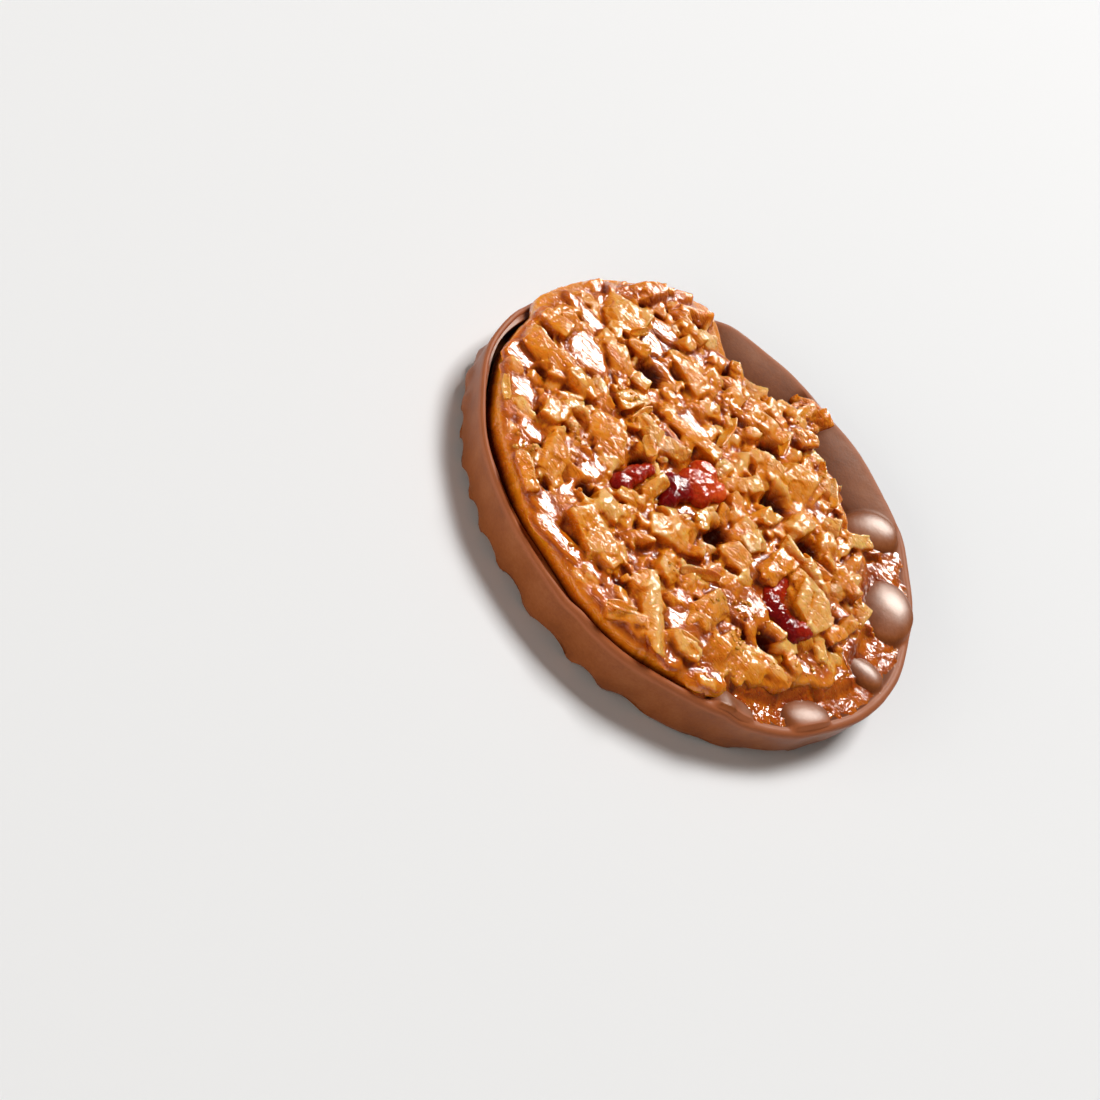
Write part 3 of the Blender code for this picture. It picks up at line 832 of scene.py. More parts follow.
def caramelBody():
    # the turned slab of caramel that everything is set in
    edge = cookie["fillingRadius"]
    bm = bmesh.new()
    tag = bm.verts.layers.int.new("lip")
    line = []
    for part, radius, height in caramelProfile():
        vert = bm.verts.new((radius, 0, height))
        vert[tag] = part == "lip"
        line.append(vert)
    spinProfile(bm, line, nuts["steps"])
    for vert in bm.verts:
        radius, angle = polar(vert.co.x, vert.co.y)
        height = vert.co.z
        shift = fillingEdge(angle) - edge
        if vert[tag]:
            overRim = rimInside(angle) + 0.75 * cookie["rimThickness"] - fillingEdge(angle)
            radius = edge + overRim * overflow(angle)
        if abs(height - cookie["rimHeight"]) < 0.3:
            height += min(rimHeight(angle) - cookie["rimHeight"], 0.0) + cookie["clearance"]
            height = min(height, nuts["caramelEdge"] - edgeDip(radius + shift, angle) - 0.9)
        if height > cookie["rimHeight"] + 1.0:
            height -= edgeDip(radius + shift, angle)
        scale = (radius + shift) / math.hypot(vert.co.x, vert.co.y)
        vert.co = (vert.co.x * scale, vert.co.y * scale, height)
    bmesh.ops.holes_fill(bm, edges=[e for e in bm.edges if e.is_boundary])
    bmesh.ops.recalc_face_normals(bm, faces=bm.faces)
    return bm


def cutBelow(bm, place, way):
    # cuts off all that lies past a plane and closes the cut
    everything = bm.verts[:] + bm.edges[:] + bm.faces[:]
    cut = bmesh.ops.bisect_plane(bm, geom=everything, plane_co=place, plane_no=way, clear_outer=True)
    rim = [item for item in cut["geom_cut"] if isinstance(item, bmesh.types.BMEdge)]
    bmesh.ops.holes_fill(bm, edges=rim)


def nibShapes(rng):
    # chopped almond: blocks with several flat knife cuts
    shapes = []
    for _ in range(nuts["shapes"]):
        bm = bmesh.new()
        bmesh.ops.create_cube(bm, size=2.0)
        for _ in range(rng.randint(4, 8)):
            way = Vector((rng.uniform(-1, 1), rng.uniform(-1, 1), rng.uniform(-0.8, 0.8))).normalized()
            cutBelow(bm, way * rng.uniform(0.72, 1.05), way)
        bmesh.ops.recalc_face_normals(bm, faces=bm.faces)
        mesh = bpy.data.meshes.new("nibShape")
        bm.to_mesh(mesh)
        bm.free()
        shapes.append(mesh)
    return shapes


def inHollow(x, y, margin=0.0):
    return any(math.hypot(x - hx, y - hy) < radius + margin for hx, hy, radius in nuts["hollows"])


def keepInside(x, y, halfLength, halfWidth, turn):
    # moves a piece inward that would hang over the edge, but for the stretch that runs over the rim
    radius, angle = polar(x, y)
    lean = math.radians(turn - angle)
    half = math.hypot(halfLength * math.cos(lean), halfWidth * math.sin(lean))
    over = max(0.0, radius + half - fillingEdge(angle) - 0.2) * (1 - overflow(angle))
    return x * (1 - over / radius), y * (1 - over / radius)


pools = [(*keepInside(*pool), *pool[2:]) for pool in nuts["pools"]]


def poolShare(x, y):
    # 1 in the middle of a pool of caramel, 0 outside it
    best = 0.0
    for px, py, halfLength, halfWidth, turn in pools:
        a = math.radians(turn)
        along = ((x - px) * math.cos(a) + (y - py) * math.sin(a)) / (1.2 * halfLength)
        across = ((y - py) * math.cos(a) - (x - px) * math.sin(a)) / (1.2 * halfWidth)
        best = np.maximum(best, 1 - along * along - across * across)
    return best


fruitNodes = ("cherry_middle", "cherry_left", "cherry_right")
fruits = {name: [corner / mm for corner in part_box(name)] for name in fruitNodes}


def inFruit(x, y, margin):
    for low, high in fruits.values():
        middle = (low + high) / 2
        half = (high - low) / 2
        dx = (x - middle.x) / (half.x + margin)
        dy = (y - middle.y) / (half.y + margin)
        if dx * dx + dy * dy < 1:
            return True
    return False


def largeNibs(rng):
    # the large pieces, each with a lesser chip stuck to both ends
    pieces = []
    full = nuts["halfHeight"]
    for x, y, halfLength, halfWidth, turn, lift, tone in nuts["large"]:
        x, y = keepInside(x, y, halfLength, halfWidth, turn)
        slope = rng.uniform(-0.14, 0.14)
        pieces.append((x, y, halfLength, halfWidth, full, turn, lift, slope, tone))
        for side in (-1, 1):
            reach = side * halfLength * rng.uniform(0.35, 0.7)
            a = math.radians(turn)
            dx = reach * math.cos(a) + rng.uniform(-0.4, 0.4) * halfWidth
            dy = reach * math.sin(a) + rng.uniform(-0.4, 0.4) * halfWidth
            size = rng.uniform(0.5, 0.75)
            if poolShare(x + dx, y + dy) > 0.1:
                continue
            chipX, chipY = keepInside(x + dx, y + dy, halfWidth * size, halfWidth * size, 0)
            sizes = (halfWidth * 1.5 * size, halfWidth * size, full * 0.8)
            chipTurn, chipLift = rng.uniform(0, 180), lift - rng.uniform(0.0, 0.5)
            pieces.append((chipX, chipY, *sizes, chipTurn, chipLift, rng.uniform(-0.4, 0.4), tone - 0.05))
    return pieces


def scatterNibs(rng):
    # x, y, half length, half width, half height, turn, lift, slope and tone of every piece
    pieces = largeNibs(rng)
    placed = [(*keepInside(*large[:5]), large[3] + 1.0) for large in nuts["large"]]
    for count, lengths, widths, heights, spacing in nuts["kinds"]:
        made = 0
        tries = 0
        while made < count and tries < 9000:
            tries += 1
            angle = rng.uniform(-180, 180)
            radius = 29.0 * math.sqrt(rng.random())
            x, y = flatPlace(radius, angle)
            room = fillingEdge(angle) - radius
            halfLength = rng.uniform(*lengths)
            halfWidth = rng.uniform(*widths)
            if room < halfWidth + 0.5 or inHollow(x, y, 0.3) or inFruit(x, y, 0.6 * halfWidth):
                continue
            if any(math.hypot(x - px, y - py) < (spacing + size) / 2 for px, py, size in placed):
                continue
            if poolShare(x, y) > 0.0 or edgeDip(radius, angle) > nuts["bareDip"]:
                continue
            placed.append((x, y, spacing))
            turn = rng.uniform(0, 180)
            if room < halfLength + 0.5:
                turn = angle + 90 + rng.uniform(-8, 8)
            lift = rng.uniform(-0.9, 0.1)
            slope = rng.uniform(-0.45, 0.45)
            place = (x, y, halfLength, halfWidth, rng.uniform(*heights), turn, lift, slope)
            pieces.append((*place, rng.uniform(0.45, 0.85)))
            made += 1
    return pieces


def addNibs(bm, owner, rng):
    # sets every piece in the caramel, numbers its faces and returns the tones
    shapes = nibShapes(rng)
    tones = [nuts["filmTone"]]
    for number, piece in enumerate(scatterNibs(rng), start=1):
        x, y, halfLength, halfWidth, halfHeight, turn, lift, slope, tone = piece
        shape = rng.choice(shapes)
        radius, angle = polar(x, y)
        place = Matrix.Translation((x, y, caramelLevel(radius, angle) + lift))
        a = math.radians(turn)
        reach = math.hypot(halfLength * math.sin(a), halfWidth * math.cos(a))
        tip = Matrix.Rotation(min(rng.uniform(*nuts["tip"]), nuts["tipRise"] / reach), 4, "X")
        spin = turnAbout("Z", turn) @ Matrix.Rotation(-math.atan(slope), 4, "Y")
        roll = Matrix.Rotation(rng.uniform(-0.2, 0.2), 4, "X")
        size = Matrix.Diagonal((halfLength, halfWidth, halfHeight, 1))
        for face in addShape(bm, lambda bm: bm.from_mesh(shape), place, tip, spin, roll, size):
            face[owner] = number
        tones.append(tone)
    print("nut top:", len(tones) - 1, "pieces of almond")
    return np.array(tones)


def poolDisc(bm, x, y, turn):
    # a low disc with an uneven shore
    disc = bmesh.ops.create_cone(bm, cap_ends=True, segments=28, radius1=1.15, radius2=0.95, depth=2.0)
    for vert in disc["verts"]:
        place = Vector((vert.co.x * 1.6 + x, vert.co.y * 1.6 + y, turn))
        vert.co.xy *= 1 + 0.22 * noise.noise(place)


def addPools(bm):
    half = nuts["poolHalf"]
    for x, y, halfLength, halfWidth, turn in pools:
        radius, angle = polar(x, y)
        place = Matrix.Translation((x, y, caramelLevel(radius, angle) + nuts["poolLift"] - half))
        size = Matrix.Diagonal((1.12 * halfLength, 1.12 * halfWidth, half, 1))
        addShape(bm, lambda bm: poolDisc(bm, x, y, turn), place, turnAbout("Z", turn), size)


def gatherCaramel(mesh, points, edges, film, upper):
    # caramel fills the creases, leaves the high edges thin and sinks in the hollows
    for rounds in nuts["closing"]:
        normals = readNormals(mesh)
        inward = relax(points, edges, rounds, 0.6) - points
        gather = (inward * normals).sum(axis=1).clip(0, 0.5) * upper
        points = points + normals * gather[:, None] * 0.9
        writePoints(mesh, points)
    sunk = np.zeros(len(points))
    for x, y, radius in nuts["hollows"]:
        share = (1 - np.hypot(points[:, 0] - x, points[:, 1] - y) / (radius + 0.6)).clip(0, 1)
        sunk = np.maximum(sunk, share * share * (3 - 2 * share) * upper)
    points[:, 2] -= nuts["hollowDepth"] * sunk
    smooth = relax(points, edges, 1, 0.5)
    calm = relax(points, edges, nuts["filmRounds"], 0.6)
    smooth += film[:, None] * (calm - smooth)
    points = np.where(upper[:, None], smooth, points)
    writePoints(mesh, points)
    return points, sunk


def crumpleNuts(mesh, points, film, upper):
    normals = readNormals(mesh)
    move = nuts["wrinkle"] * noiseField(points, 1.3, 3)
    pool = film * (poolShare(points[:, 0], points[:, 1]) / 0.3).clip(0, 1)
    calm = 1 - (1 - nuts["poolCrumple"]) * pool
    for size, onNuts, onFilm in nuts["crumples"]:
        move += (onNuts + (onFilm - onNuts) * film) * calm * crumpleField(points, size)
    points = points + normals * (move * upper)[:, None]
    points[:, 2] = np.minimum(points[:, 2], topLimit)
    writePoints(mesh, points)
    return points


def nutTone(mesh, points, edges, own, sunk):
    # each piece its own tone, darker low down and in the creases (painted shade, partly the thicker caramel
    # there), lighter on level faces (painted light), golden at the outer side with painted shade at its foot
    level = relax(points[:, 2], edges, nuts["levelRounds"], 0.7)
    near = relax(points[:, 2], edges, nuts["creaseRounds"], 0.7)
    height = (points[:, 2] - level).clip(-1.2, 0.8)
    crease = (near - points[:, 2]).clip(0.0, 0.4)
    facing = readNormals(mesh)[:, 2].clip(0, 1) - 0.75
    high, deep, flat, more = nuts["toneChange"]
    # height and crease darken as painted shade, partly the thicker caramel; facing lightens level faces as
    # painted light
    tone = relax(own, edges, 2) + high * height - deep * crease + flat * facing + more
    # painted shade in the hollows
    tone -= nuts["hollowTone"] * sunk
    # the outer side: painted shade at its foot in the gap by the wall, lighter above
    radii = np.hypot(points[:, 0], points[:, 1])
    edge = np.array([fillingEdge(polar(p[0], p[1])[1]) for p in points])
    side = ((radii - edge + 1.0) / 0.8).clip(0, 1) * (1 - ((points[:, 2] - 7.1) / 0.5).clip(0, 1))
    dark, lighter, start, run = nuts["sideTone"]
    risen = ((points[:, 2] - start) / run).clip(0, 1)
    return tone + side * (dark + lighter * risen - tone)


def makeNutTop():
    bm = caramelBody()
    owner = bm.faces.layers.int.new("owner")
    tones = addNibs(bm, owner, random.Random(nuts["seed"]))
    addPools(bm)
    obj, ownersAt = blendSolids("nutTop", bm, owner, nuts["voxel"])
    bm = bmesh.new()
    bm.from_mesh(obj.data)
    cutBelow(bm, (0, 0, nuts["bottom"]), (0, 0, -1))
    bm.to_mesh(obj.data)
    bm.free()
    print("nut top blended:", len(obj.data.vertices), "points")

    mesh = obj.data
    edges = meshEdges(mesh)
    points = readPoints(mesh)
    piece = ownersAt(points)
    film = relax((piece == 0).astype(float), edges, 3)
    upper = points[:, 2] > nuts["bottom"] + 0.3
    points, sunk = gatherCaramel(mesh, points, edges, film, upper)
    points = crumpleNuts(mesh, points, film, upper)
    storeMask(mesh, "tone", nutTone(mesh, points, edges, tones[piece], sunk))
    storeMask(mesh, "film", film)
    thin = obj.modifiers.new("thin", "DECIMATE")
    thin.ratio = nuts["keep"]
    bakeModifiers(obj)
    bm = bmesh.new()
    bm.from_mesh(obj.data)
    surface = BVHTree.FromBMesh(bm)
    bm.free()
    finishPiece(obj, caramelNut, ["nut_filling"])
    return surface


caramelLook = {
    # colours from the creases, darkened by painted shade, to the bare nut, each with its place in the ramp
    "stops": [
        (0.10, (0.11, 0.011, 0.001)),
        (0.30, (0.34, 0.052, 0.003)),
        (0.50, (0.62, 0.132, 0.002)),
        (0.72, (0.88, 0.275, 0.010)),
        (0.98, (0.97, 0.49, 0.13)),
    ],
    # facets and folds of the skin: change on caramel film, value on nuts
    "skin": {"Facet_Size": (0.2, 0.95), "Fold_Share": (-0.09, 0.14), "Facet_Share": (-0.34, 0.40)},
    "coatRoughness": 0.02,
    "roughness": 0.28,
}


def makeWet(name, clouds, mask, toneSpread, stops, rough, wrinkles, coat, depth):
    # a glossy, slightly translucent finish whose tone comes from a mask and a cloudy change
    material, tree, shader = makeMaterial(name)
    uneven = useGroup(tree, unevenColour, **clouds)
    tone = calculate(tree, "MULTIPLY_ADD", uneven["Mask"], toneSpread, readMask(tree, mask))
    tone = calculate(tree, "ADD", tone, -toneSpread / 2)
    height, bumpDepth = wrinkles(tree)
    normal = bumpNormal(tree, height, 1.0, bumpDepth)
    setInputs(tree, shader, Base_Color=ramp(tree, tone, stops), Roughness=rough(tree, uneven["Grain"]))
    setInputs(tree, shader, IOR=1.45, Specular_IOR_Level=0.0, Normal=normal, Coat_Normal=normal)
    setInputs(tree, shader, Coat_Weight=1.0, Coat_Roughness=coat[0], Coat_IOR=coat[1])
    setInputs(tree, shader, Subsurface_Weight=depth[0], Subsurface_Scale=depth[1] * mm)
    setInputs(tree, shader, Subsurface_Radius=depth[2])
    return material


def makeCaramelNut():
    look = caramelLook

    def wrinkles(tree):
        film = readMask(tree, "film")
        skin = {
            name: calculate(tree, "MULTIPLY_ADD", film, change, onNuts)
            for name, (change, onNuts) in look["skin"].items()
        }
        return useGroup(tree, wetWrinkles, Fold_Size=1.4, Crack_Share=0.09, **skin)["Height"], 0.45

    return makeWet(
        "caramelNut",
        clouds={"Cloud_Size": 2.4, "Grain_Size": 0.4, "Grain_Share": 0.4},
        mask="tone",
        toneSpread=0.5,
        stops=look["stops"],
        rough=lambda tree, grain: calculate(tree, "MULTIPLY_ADD", grain, 0.15, look["roughness"] - 0.08),
        wrinkles=wrinkles,
        coat=(look["coatRoughness"], 1.7),
        depth=(0.6, 0.9, (1.0, 0.35, 0.08)),
    )


caramelNut = makeCaramelNut()
nutSurface = makeNutTop()
print("nut top made")


# caramel that ran out between the swells and set level with the rim
glaze = {
    "start": -61.0,
    "end": 46.0,
    "soft": 7.0,
    "angleSteps": 260,
    "rows": 30,
    "underNuts": 0.9,
    "ontoRim": 0.35,
    "belowRim": 0.16,
    "climb": 1.1,
    "climbRun": 1.6,
    "under": 0.15,
    "endDrop": 0.5,
    "thinnest": 0.05,
    "crumples": [(2.4, 0.44), (1.2, 0.17), (0.6, 0.03)],
    "tone": 0.42,
    "toneSpread": 0.10,
    "toneOnSwells": 0.14,
    "filmShare": 0.9,
}


def glazeRange(angle):
    # inner and outer radius
    return fillingEdge(angle) - glaze["underNuts"], rimInside(angle) + glaze["ontoRim"]


def glazeHeights(angle, radius):
    # top and underside; at both ends the glaze sinks into the chocolate
    climb = smoothStep((fillingEdge(angle) + glaze["climbRun"] - radius) / glaze["climbRun"])
    top = rimHeight(angle) - glaze["belowRim"] + glaze["climb"] * climb
    ends = span(angle, glaze["start"], glaze["end"], glaze["soft"])
    bank = bankHeight(angle, radius) - swellHeight(angle, radius)
    sunk = bank - glaze["endDrop"]
    return sunk + (top - sunk) * ends, bank - glaze["under"] - glaze["endDrop"] * (1 - ends)


def makeCaramelFilm():
    bm = bmesh.new()
    bmesh.ops.create_grid(bm, x_segments=glaze["angleSteps"], y_segments=glaze["rows"], size=0.5)
    low = glaze["start"] - glaze["soft"] / 2
    high = glaze["end"] + glaze["soft"] / 2
    for vert in bm.verts:
        angle = low + (high - low) * (0.5 - vert.co.x)
        inner, outer = glazeRange(angle)
        radius = inner + (outer - inner) * (vert.co.y + 0.5)
        vert.co = (*flatPlace(radius, angle), glazeHeights(angle, radius)[0])
    lower = bmesh.ops.extrude_face_region(bm, geom=bm.faces[:])["geom"]
    for vert in [item for item in lower if isinstance(item, bmesh.types.BMVert)]:
        radius, angle = polar(vert.co.x, vert.co.y)
        vert.co.z = min(glazeHeights(angle, radius)[1], vert.co.z - glaze["thinnest"])
    bmesh.ops.recalc_face_normals(bm, faces=bm.faces)
    obj = meshObject("caramelFilm", bm)
    mesh = obj.data
    points = readPoints(mesh)
    upward = readNormals(mesh)[:, 2] > 0.3
    points[:, 2] += crumples(points, glaze["crumples"]) * upward
    writePoints(mesh, points)
    swell = np.array([swellHeight(*polar(p[0], p[1])[::-1]) for p in points])
    tone = glaze["tone"] + glaze["toneSpread"] * noiseField(points, 1.5, 8)
    tone -= glaze["toneOnSwells"] * (swell > 0.2)
    storeMask(mesh, "tone", relax(tone, meshEdges(mesh), 4))
    storeMask(mesh, "film", np.full(len(points), glaze["filmShare"]))
    finishPiece(obj, caramelNut)


makeCaramelFilm()
print("caramel film made")


# thin flakes of almond on the nuts, and beads of caramel
flakes = {
    "seed": 5,
    # x, y, length, width, thickness, turn, lean, height over the surface
    "list": [
        (-4.0, 7.2, 6.4, 1.5, 0.35, -78, 50, 0.35), (5.6, -14.7, 5.6, 1.3, 0.35, 47, 55, 0.35),
        (10.0, 14.6, 4.6, 1.2, 0.35, -56, 35, 0.30), (7.2, 16.6, 2.6, 0.9, 0.30, -60, 40, 0.30),
        (-12.2, -2.4, 4.4, 1.0, 0.30, 84, 40, 0.30), (14.6, 1.9, 4.4, 1.2, 0.30, 12, 30, 0.30),
        (10.0, -23.4, 3.8, 1.0, 0.30, 20, 35, 0.30), (2.4, -28.0, 3.8, 1.0, 0.30, 38, 20, 0.20),
        (-8.6, -6.6, 2.8, 1.3, 0.30, -40, 30, 0.25), (18.9, -12.4, 3.4, 1.0, 0.30, -52, 40, 0.30),
        (-24.0, -15.8, 3.6, 0.9, 0.30, -50, 25, 0.20), (-19.6, 7.6, 3.2, 1.0, 0.30, 70, 40, 0.25),
        (1.6, 13.8, 4.0, 1.1, 0.30, -70, 45, 0.30), (20.6, 5.4, 2.8, 0.9, 0.30, -30, 30, 0.25),
    ],
    "beads": 330,
    "beadSize": (0.10, 0.30),
    "clusterShare": 0.6,
    # where beads gather: x, y, radius
    "clusters": [
        (13.8, -25.4, 2.6), (22.0, -9.2, 2.6), (9.0, -16.4, 2.0), (13.6, -16.6, 1.6), (2.4, -17.8, 1.8),
        (-1.4, 10.2, 2.0), (-14.4, -2.0, 2.2), (-15.0, -13.6, 1.6), (12.6, -12.4, 1.8),
        (1.2, -9.8, 1.8), (21.6, -20.4, 1.8), (-17.4, -21.4, 1.8),
    ],
}


def onSurface(x, y):
    hit = nutSurface.ray_cast(Vector((x, y, nutTopHeight + 2)), Vector((0, 0, -1)))[0]
    return hit.z if hit else nuts["caramelEdge"]


def makeFlakes():
    # thin bent slips of almond that stand on edge or lean
    rng = random.Random(flakes["seed"])
    bm = bmesh.new()
    for x, y, length, width, thickness, turn, lean, lift in flakes["list"]:
        flake = bmesh.ops.create_grid(bm, x_segments=14, y_segments=4, size=0.5)["verts"]
        bend = rng.uniform(-0.5, 0.5)
        for vert in flake:
            u, v = vert.co.x * 2, vert.co.y * 2
            taper = 1 - 0.55 * abs(u) ** 3 + 0.12 * math.sin(5 * u + x)
            vert.co = (length * u / 2, width * v * taper / 2, bend * u * u + 0.15 * v * v)
            vert.co += 0.12 * noise.noise_vector(Vector((u * 2 + x, v * 2 + y, turn)))
        place = Matrix.Translation((x, y, min(onSurface(x, y) + lift, nutTopHeight - 0.35)))
        bmesh.ops.transform(bm, verts=flake, matrix=place @ (turnAbout("Z", turn) @ turnAbout("X", lean)))
        faces = list({face for vert in flake for face in vert.link_faces})
        bmesh.ops.solidify(bm, geom=faces, thickness=thickness)
    bmesh.ops.recalc_face_normals(bm, faces=bm.faces)
    obj = meshObject("almondFlakes", bm)
    soften = obj.modifiers.new("soften", "SUBSURF")
    soften.levels = 1
    soften.render_levels = 1
    bakeModifiers(obj)
    points = readPoints(obj.data)
    points[:, 2] = np.minimum(points[:, 2], topLimit)
    writePoints(obj.data, points)
    storeMask(obj.data, "tone", 0.74 + 0.25 * noiseField(points, 2.5, 9))
    storeMask(obj.data, "film", np.zeros(len(points)))
    finishPiece(obj, caramelNut)


def makeBeads():
    # small drops of set caramel, on the pools alone
    rng = random.Random(flakes["seed"])
    bm = bmesh.new()
    tones = []
    for _ in range(flakes["beads"]):
        if rng.random() < flakes["clusterShare"]:
            cx, cy, spread = rng.choice(flakes["clusters"])
            x, y = rng.gauss(cx, spread / 2), rng.gauss(cy, spread / 2)
        else:
            angle, radius = rng.uniform(0, 2 * math.pi), 28 * math.sqrt(rng.random())
            x, y = radius * math.cos(angle), radius * math.sin(angle)
        radius, angle = polar(x, y)
        if radius > fillingEdge(angle) - 0.6 or poolShare(x, y) < 0.05:
            continue
        bead = bmesh.ops.create_uvsphere(bm, u_segments=8, v_segments=5, radius=1.0)["verts"]
        half = rng.uniform(*flakes["beadSize"])
        size = Matrix.Diagonal((half * rng.uniform(0.8, 1.6), half, half * rng.uniform(0.6, 1.0), 1))
        turn = Matrix.Rotation(rng.uniform(0, math.pi), 4, "Z")
        height = min(onSurface(x, y) + 0.1 * half, topLimit - half)
        bmesh.ops.transform(bm, verts=bead, matrix=Matrix.Translation((x, y, height)) @ turn @ size)
        tones += [rng.uniform(0.5, 0.9)] * len(bead)
    bmesh.ops.recalc_face_normals(bm, faces=bm.faces)
    obj = meshObject("caramelBeads", bm)
    storeMask(obj.data, "tone", np.array(tones))
    storeMask(obj.data, "film", np.ones(len(tones)))
    finishPiece(obj, caramelNut)


makeFlakes()
makeBeads()
print("flakes and beads made")


# cherries
cherry = {
    # lumps of torn fruit: x, y, half length, half width, half height, turn, brightness
    "cherryMiddle": [
        (-3.2, -6.7, 2.2, 1.8, 1.2, 10, 0.08), (-2.7, -9.2, 1.8, 1.2, 1.1, 85, 0.05),
        (-2.7, -3.9, 2.1, 1.7, 1.3, 95, 0.65), (-0.6, -4.4, 1.8, 1.4, 1.2, 90, 0.60),
        (-1.2, -2.6, 1.8, 1.6, 1.2, 30, 0.80), (0.1, -1.8, 1.9, 1.5, 1.2, 80, 1.00),
        (-2.4, -0.9, 2.0, 1.3, 1.2, 20, 0.75),
    ],
    "cherryLeft": [
        (-7.4, -10.4, 1.9, 1.3, 1.0, 85, 0.40), (-7.7, -12.8, 1.8, 1.5, 1.1, 90, 0.18),
        (-6.9, -8.4, 1.4, 0.9, 0.8, 75, 0.50),
    ],
    "cherryRight": [
        (12.9, -3.6, 1.9, 1.5, 1.1, 92, 0.50), (13.1, -5.8, 2.0, 1.7, 1.2, 85, 0.35),
        (14.6, -8.0, 2.2, 1.9, 1.3, 20, 0.10), (17.0, -8.3, 2.1, 1.9, 1.3, 10, 0.05),
        (18.4, -7.2, 1.8, 1.2, 1.0, 55, 0.35),
    ],
    "voxel": 0.17,
    # depth under the top of its solid, flat cut under that, share of the wrinkles
    "surface": {
        "cherryMiddle": (0.0, 0.20, 0.65),
        "cherryLeft": (0.2, 0.0, 0.6),
        "cherryRight": (0.5, 0.0, 0.6),
    },
    "stagger": 0.25,
    "blendRounds": 12,
    "crumples": [(1.6, 0.48), (0.8, 0.13)],
    "stops": [
        (0.05, (0.18, 0.001, 0.001)),
        (0.45, (0.40, 0.016, 0.003)),
        (0.95, (0.74, 0.085, 0.009)),
    ],
}


def makeCherry(name, node):
    lumps = cherry[name]
    topDrop, flatCut, wrinkleShare = cherry["surface"][name]
    top = fruits[node][1].z - topDrop
    bm = bmesh.new()
    owner = bm.faces.layers.int.new("owner")
    for number, (x, y, halfLength, halfWidth, halfHeight, turn, _) in enumerate(lumps):
        place = Matrix.Translation((x, y, top - halfHeight - cherry["stagger"] * (number % 2)))
        size = Matrix.Diagonal((halfLength, halfWidth, halfHeight, 1))
        for face in addShape(bm, roundLump, place, turnAbout("Z", turn), size):
            face[owner] = number
    obj, ownersAt = blendSolids(name, bm, owner, cherry["voxel"])
    points = readPoints(obj.data)
    edges = meshEdges(obj.data)
    bright = relax(np.array([lump[6] for lump in lumps])[ownersAt(points)], edges, 8)
    points = relax(points, edges, cherry["blendRounds"], 0.6)
    writePoints(obj.data, points)
    move = 0.25 * noiseField(points, 1.6, 6) + crumples(points, cherry["crumples"])
    points += readNormals(obj.data) * (wrinkleShare * move)[:, None]
    points[:, 2] = np.minimum(points[:, 2], top - flatCut)
    writePoints(obj.data, points)
    storeMask(obj.data, "bright", bright)
    storeMask(obj.data, "wet", np.full(len(points), wrinkleShare))
    finishPiece(obj, candiedCherry, [node])


def roundLump(bm):
    bmesh.ops.create_icosphere(bm, subdivisions=3, radius=1.0)


def makeCandiedCherry():
    def wrinkles(tree):
        folds = useGroup(tree, wetWrinkles, Fold_Size=1.0, Fold_Share=0.25, Facet_Size=0.9)["Height"]
        return calculate(tree, "MULTIPLY", folds, readMask(tree, "wet")), 0.5

    return makeWet(
        "candiedCherry",
        clouds={"Cloud_Size": 2.0, "Grain_Size": 0.5, "Grain_Share": 0.4},
        mask="bright",
        toneSpread=0.7,
        stops=cherry["stops"],
        rough=lambda tree, grain: 0.25,
        wrinkles=wrinkles,
        coat=(0.03, 1.55),
        depth=(0.5, 1.0, (1.0, 0.10, 0.05)),
    )


candiedCherry = makeCandiedCherry()
for name, node in zip(cherry["surface"], fruitNodes):
    makeCherry(name, node)
print("cherries made")


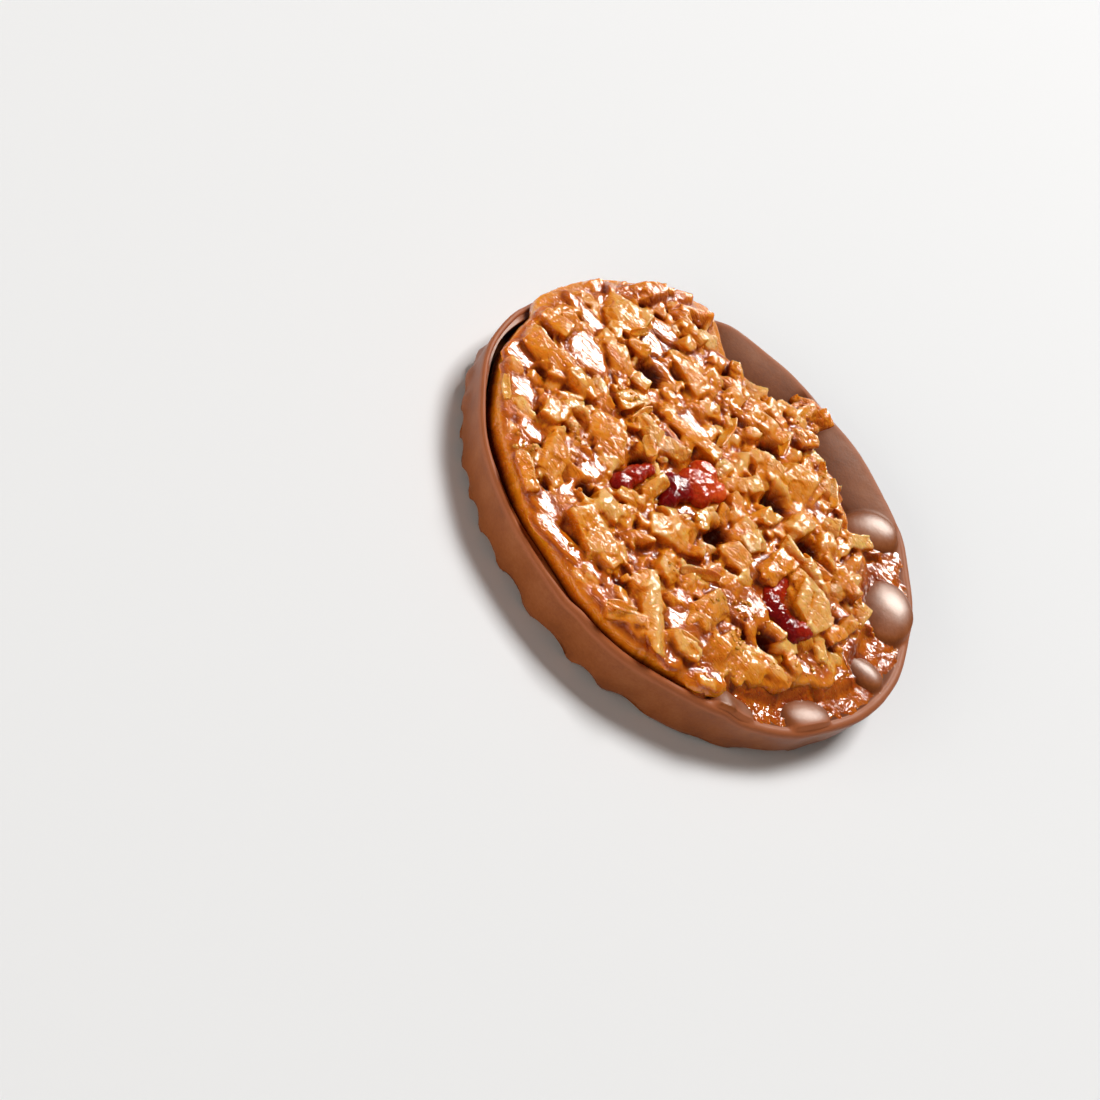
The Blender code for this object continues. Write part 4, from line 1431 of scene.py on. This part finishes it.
# floor, light and camera
studio = {
    "floorSize": 6.0,
    "floorColour": (0.87, 0.87, 0.87),
    "skyStrength": 0.07,
    "lightDistance": 2.0,
    # lights: direction from the cookie, degrees wide and high as seen from it, radiance, colour
    "lights": {
        "glintLight": ((-0.12, 0.79, 0.61), 24.0, 20.0, 25.0, (1.0, 0.96, 0.88)),
        "keyLight": ((-0.05, 0.50, 0.80), 22.0, 22.0, 20.8, (1.0, 1.0, 1.0)),
        "fillLight": ((-0.38, -0.88, 0.26), 60.0, 30.0, 3.0, (1.0, 0.93, 0.84)),
    },
    "lens": 72.0,
    "sensor": 36.0,
    "cameraPlace": (0.0, -0.20458, 0.16158),
    "aim": (-0.0073, -0.0270, 0.006),
    "roll": 45.7,
}


def makeStudio():
    bm = bmesh.new()
    bmesh.ops.create_grid(bm, x_segments=1, y_segments=1, size=studio["floorSize"] / 2)
    floor = meshObject("studioFloor", bm)
    material, tree, shader = makeMaterial("paleFloor")
    setInputs(tree, shader, Base_Color=studio["floorColour"], Roughness=0.9, Specular_IOR_Level=0.1)
    floor.data.materials.append(material)
    world = bpy.data.worlds.new("paleSky")
    world.use_nodes = True
    sky = world.node_tree.nodes["Background"]
    setInputs(world.node_tree, sky, Strength=studio["skyStrength"], Color=(1, 1, 1))
    scene.world = world
    for name, (way, width, height, radiance, colour) in studio["lights"].items():
        data = bpy.data.lights.new(name, "AREA")
        data.shape = "RECTANGLE"
        data.size = 2 * studio["lightDistance"] * math.tan(math.radians(width / 2))
        data.size_y = 2 * studio["lightDistance"] * math.tan(math.radians(height / 2))
        data.color = colour
        data.energy = radiance * math.pi * data.size * data.size_y
        lamp = bpy.data.objects.new(name, data)
        lamp.visible_glossy = name == "glintLight"
        lamp.visible_diffuse = name != "glintLight"
        way = Vector(way).normalized()
        lamp.location = way * studio["lightDistance"]
        lamp.rotation_mode = "QUATERNION"
        lamp.rotation_quaternion = way.to_track_quat("Z", "Y")
        scene.collection.objects.link(lamp)
    scene.view_settings.view_transform = "Standard"


def makeCamera():
    data = bpy.data.cameras.new("camera")
    data.lens = studio["lens"]
    data.sensor_width = studio["sensor"]
    data.clip_start = 0.01
    camera = bpy.data.objects.new("camera", data)
    back = (Vector(studio["cameraPlace"]) - Vector(studio["aim"])).normalized()
    camera.rotation_mode = "QUATERNION"
    roll = Matrix.Rotation(math.radians(studio["roll"]), 3, "Z")
    camera.rotation_quaternion = (back.to_track_quat("Z", "Y").to_matrix() @ roll).to_quaternion()
    camera.location = studio["cameraPlace"]
    scene.collection.objects.link(camera)
    scene.camera = camera


makeStudio()
makeCamera()
print("studio made")
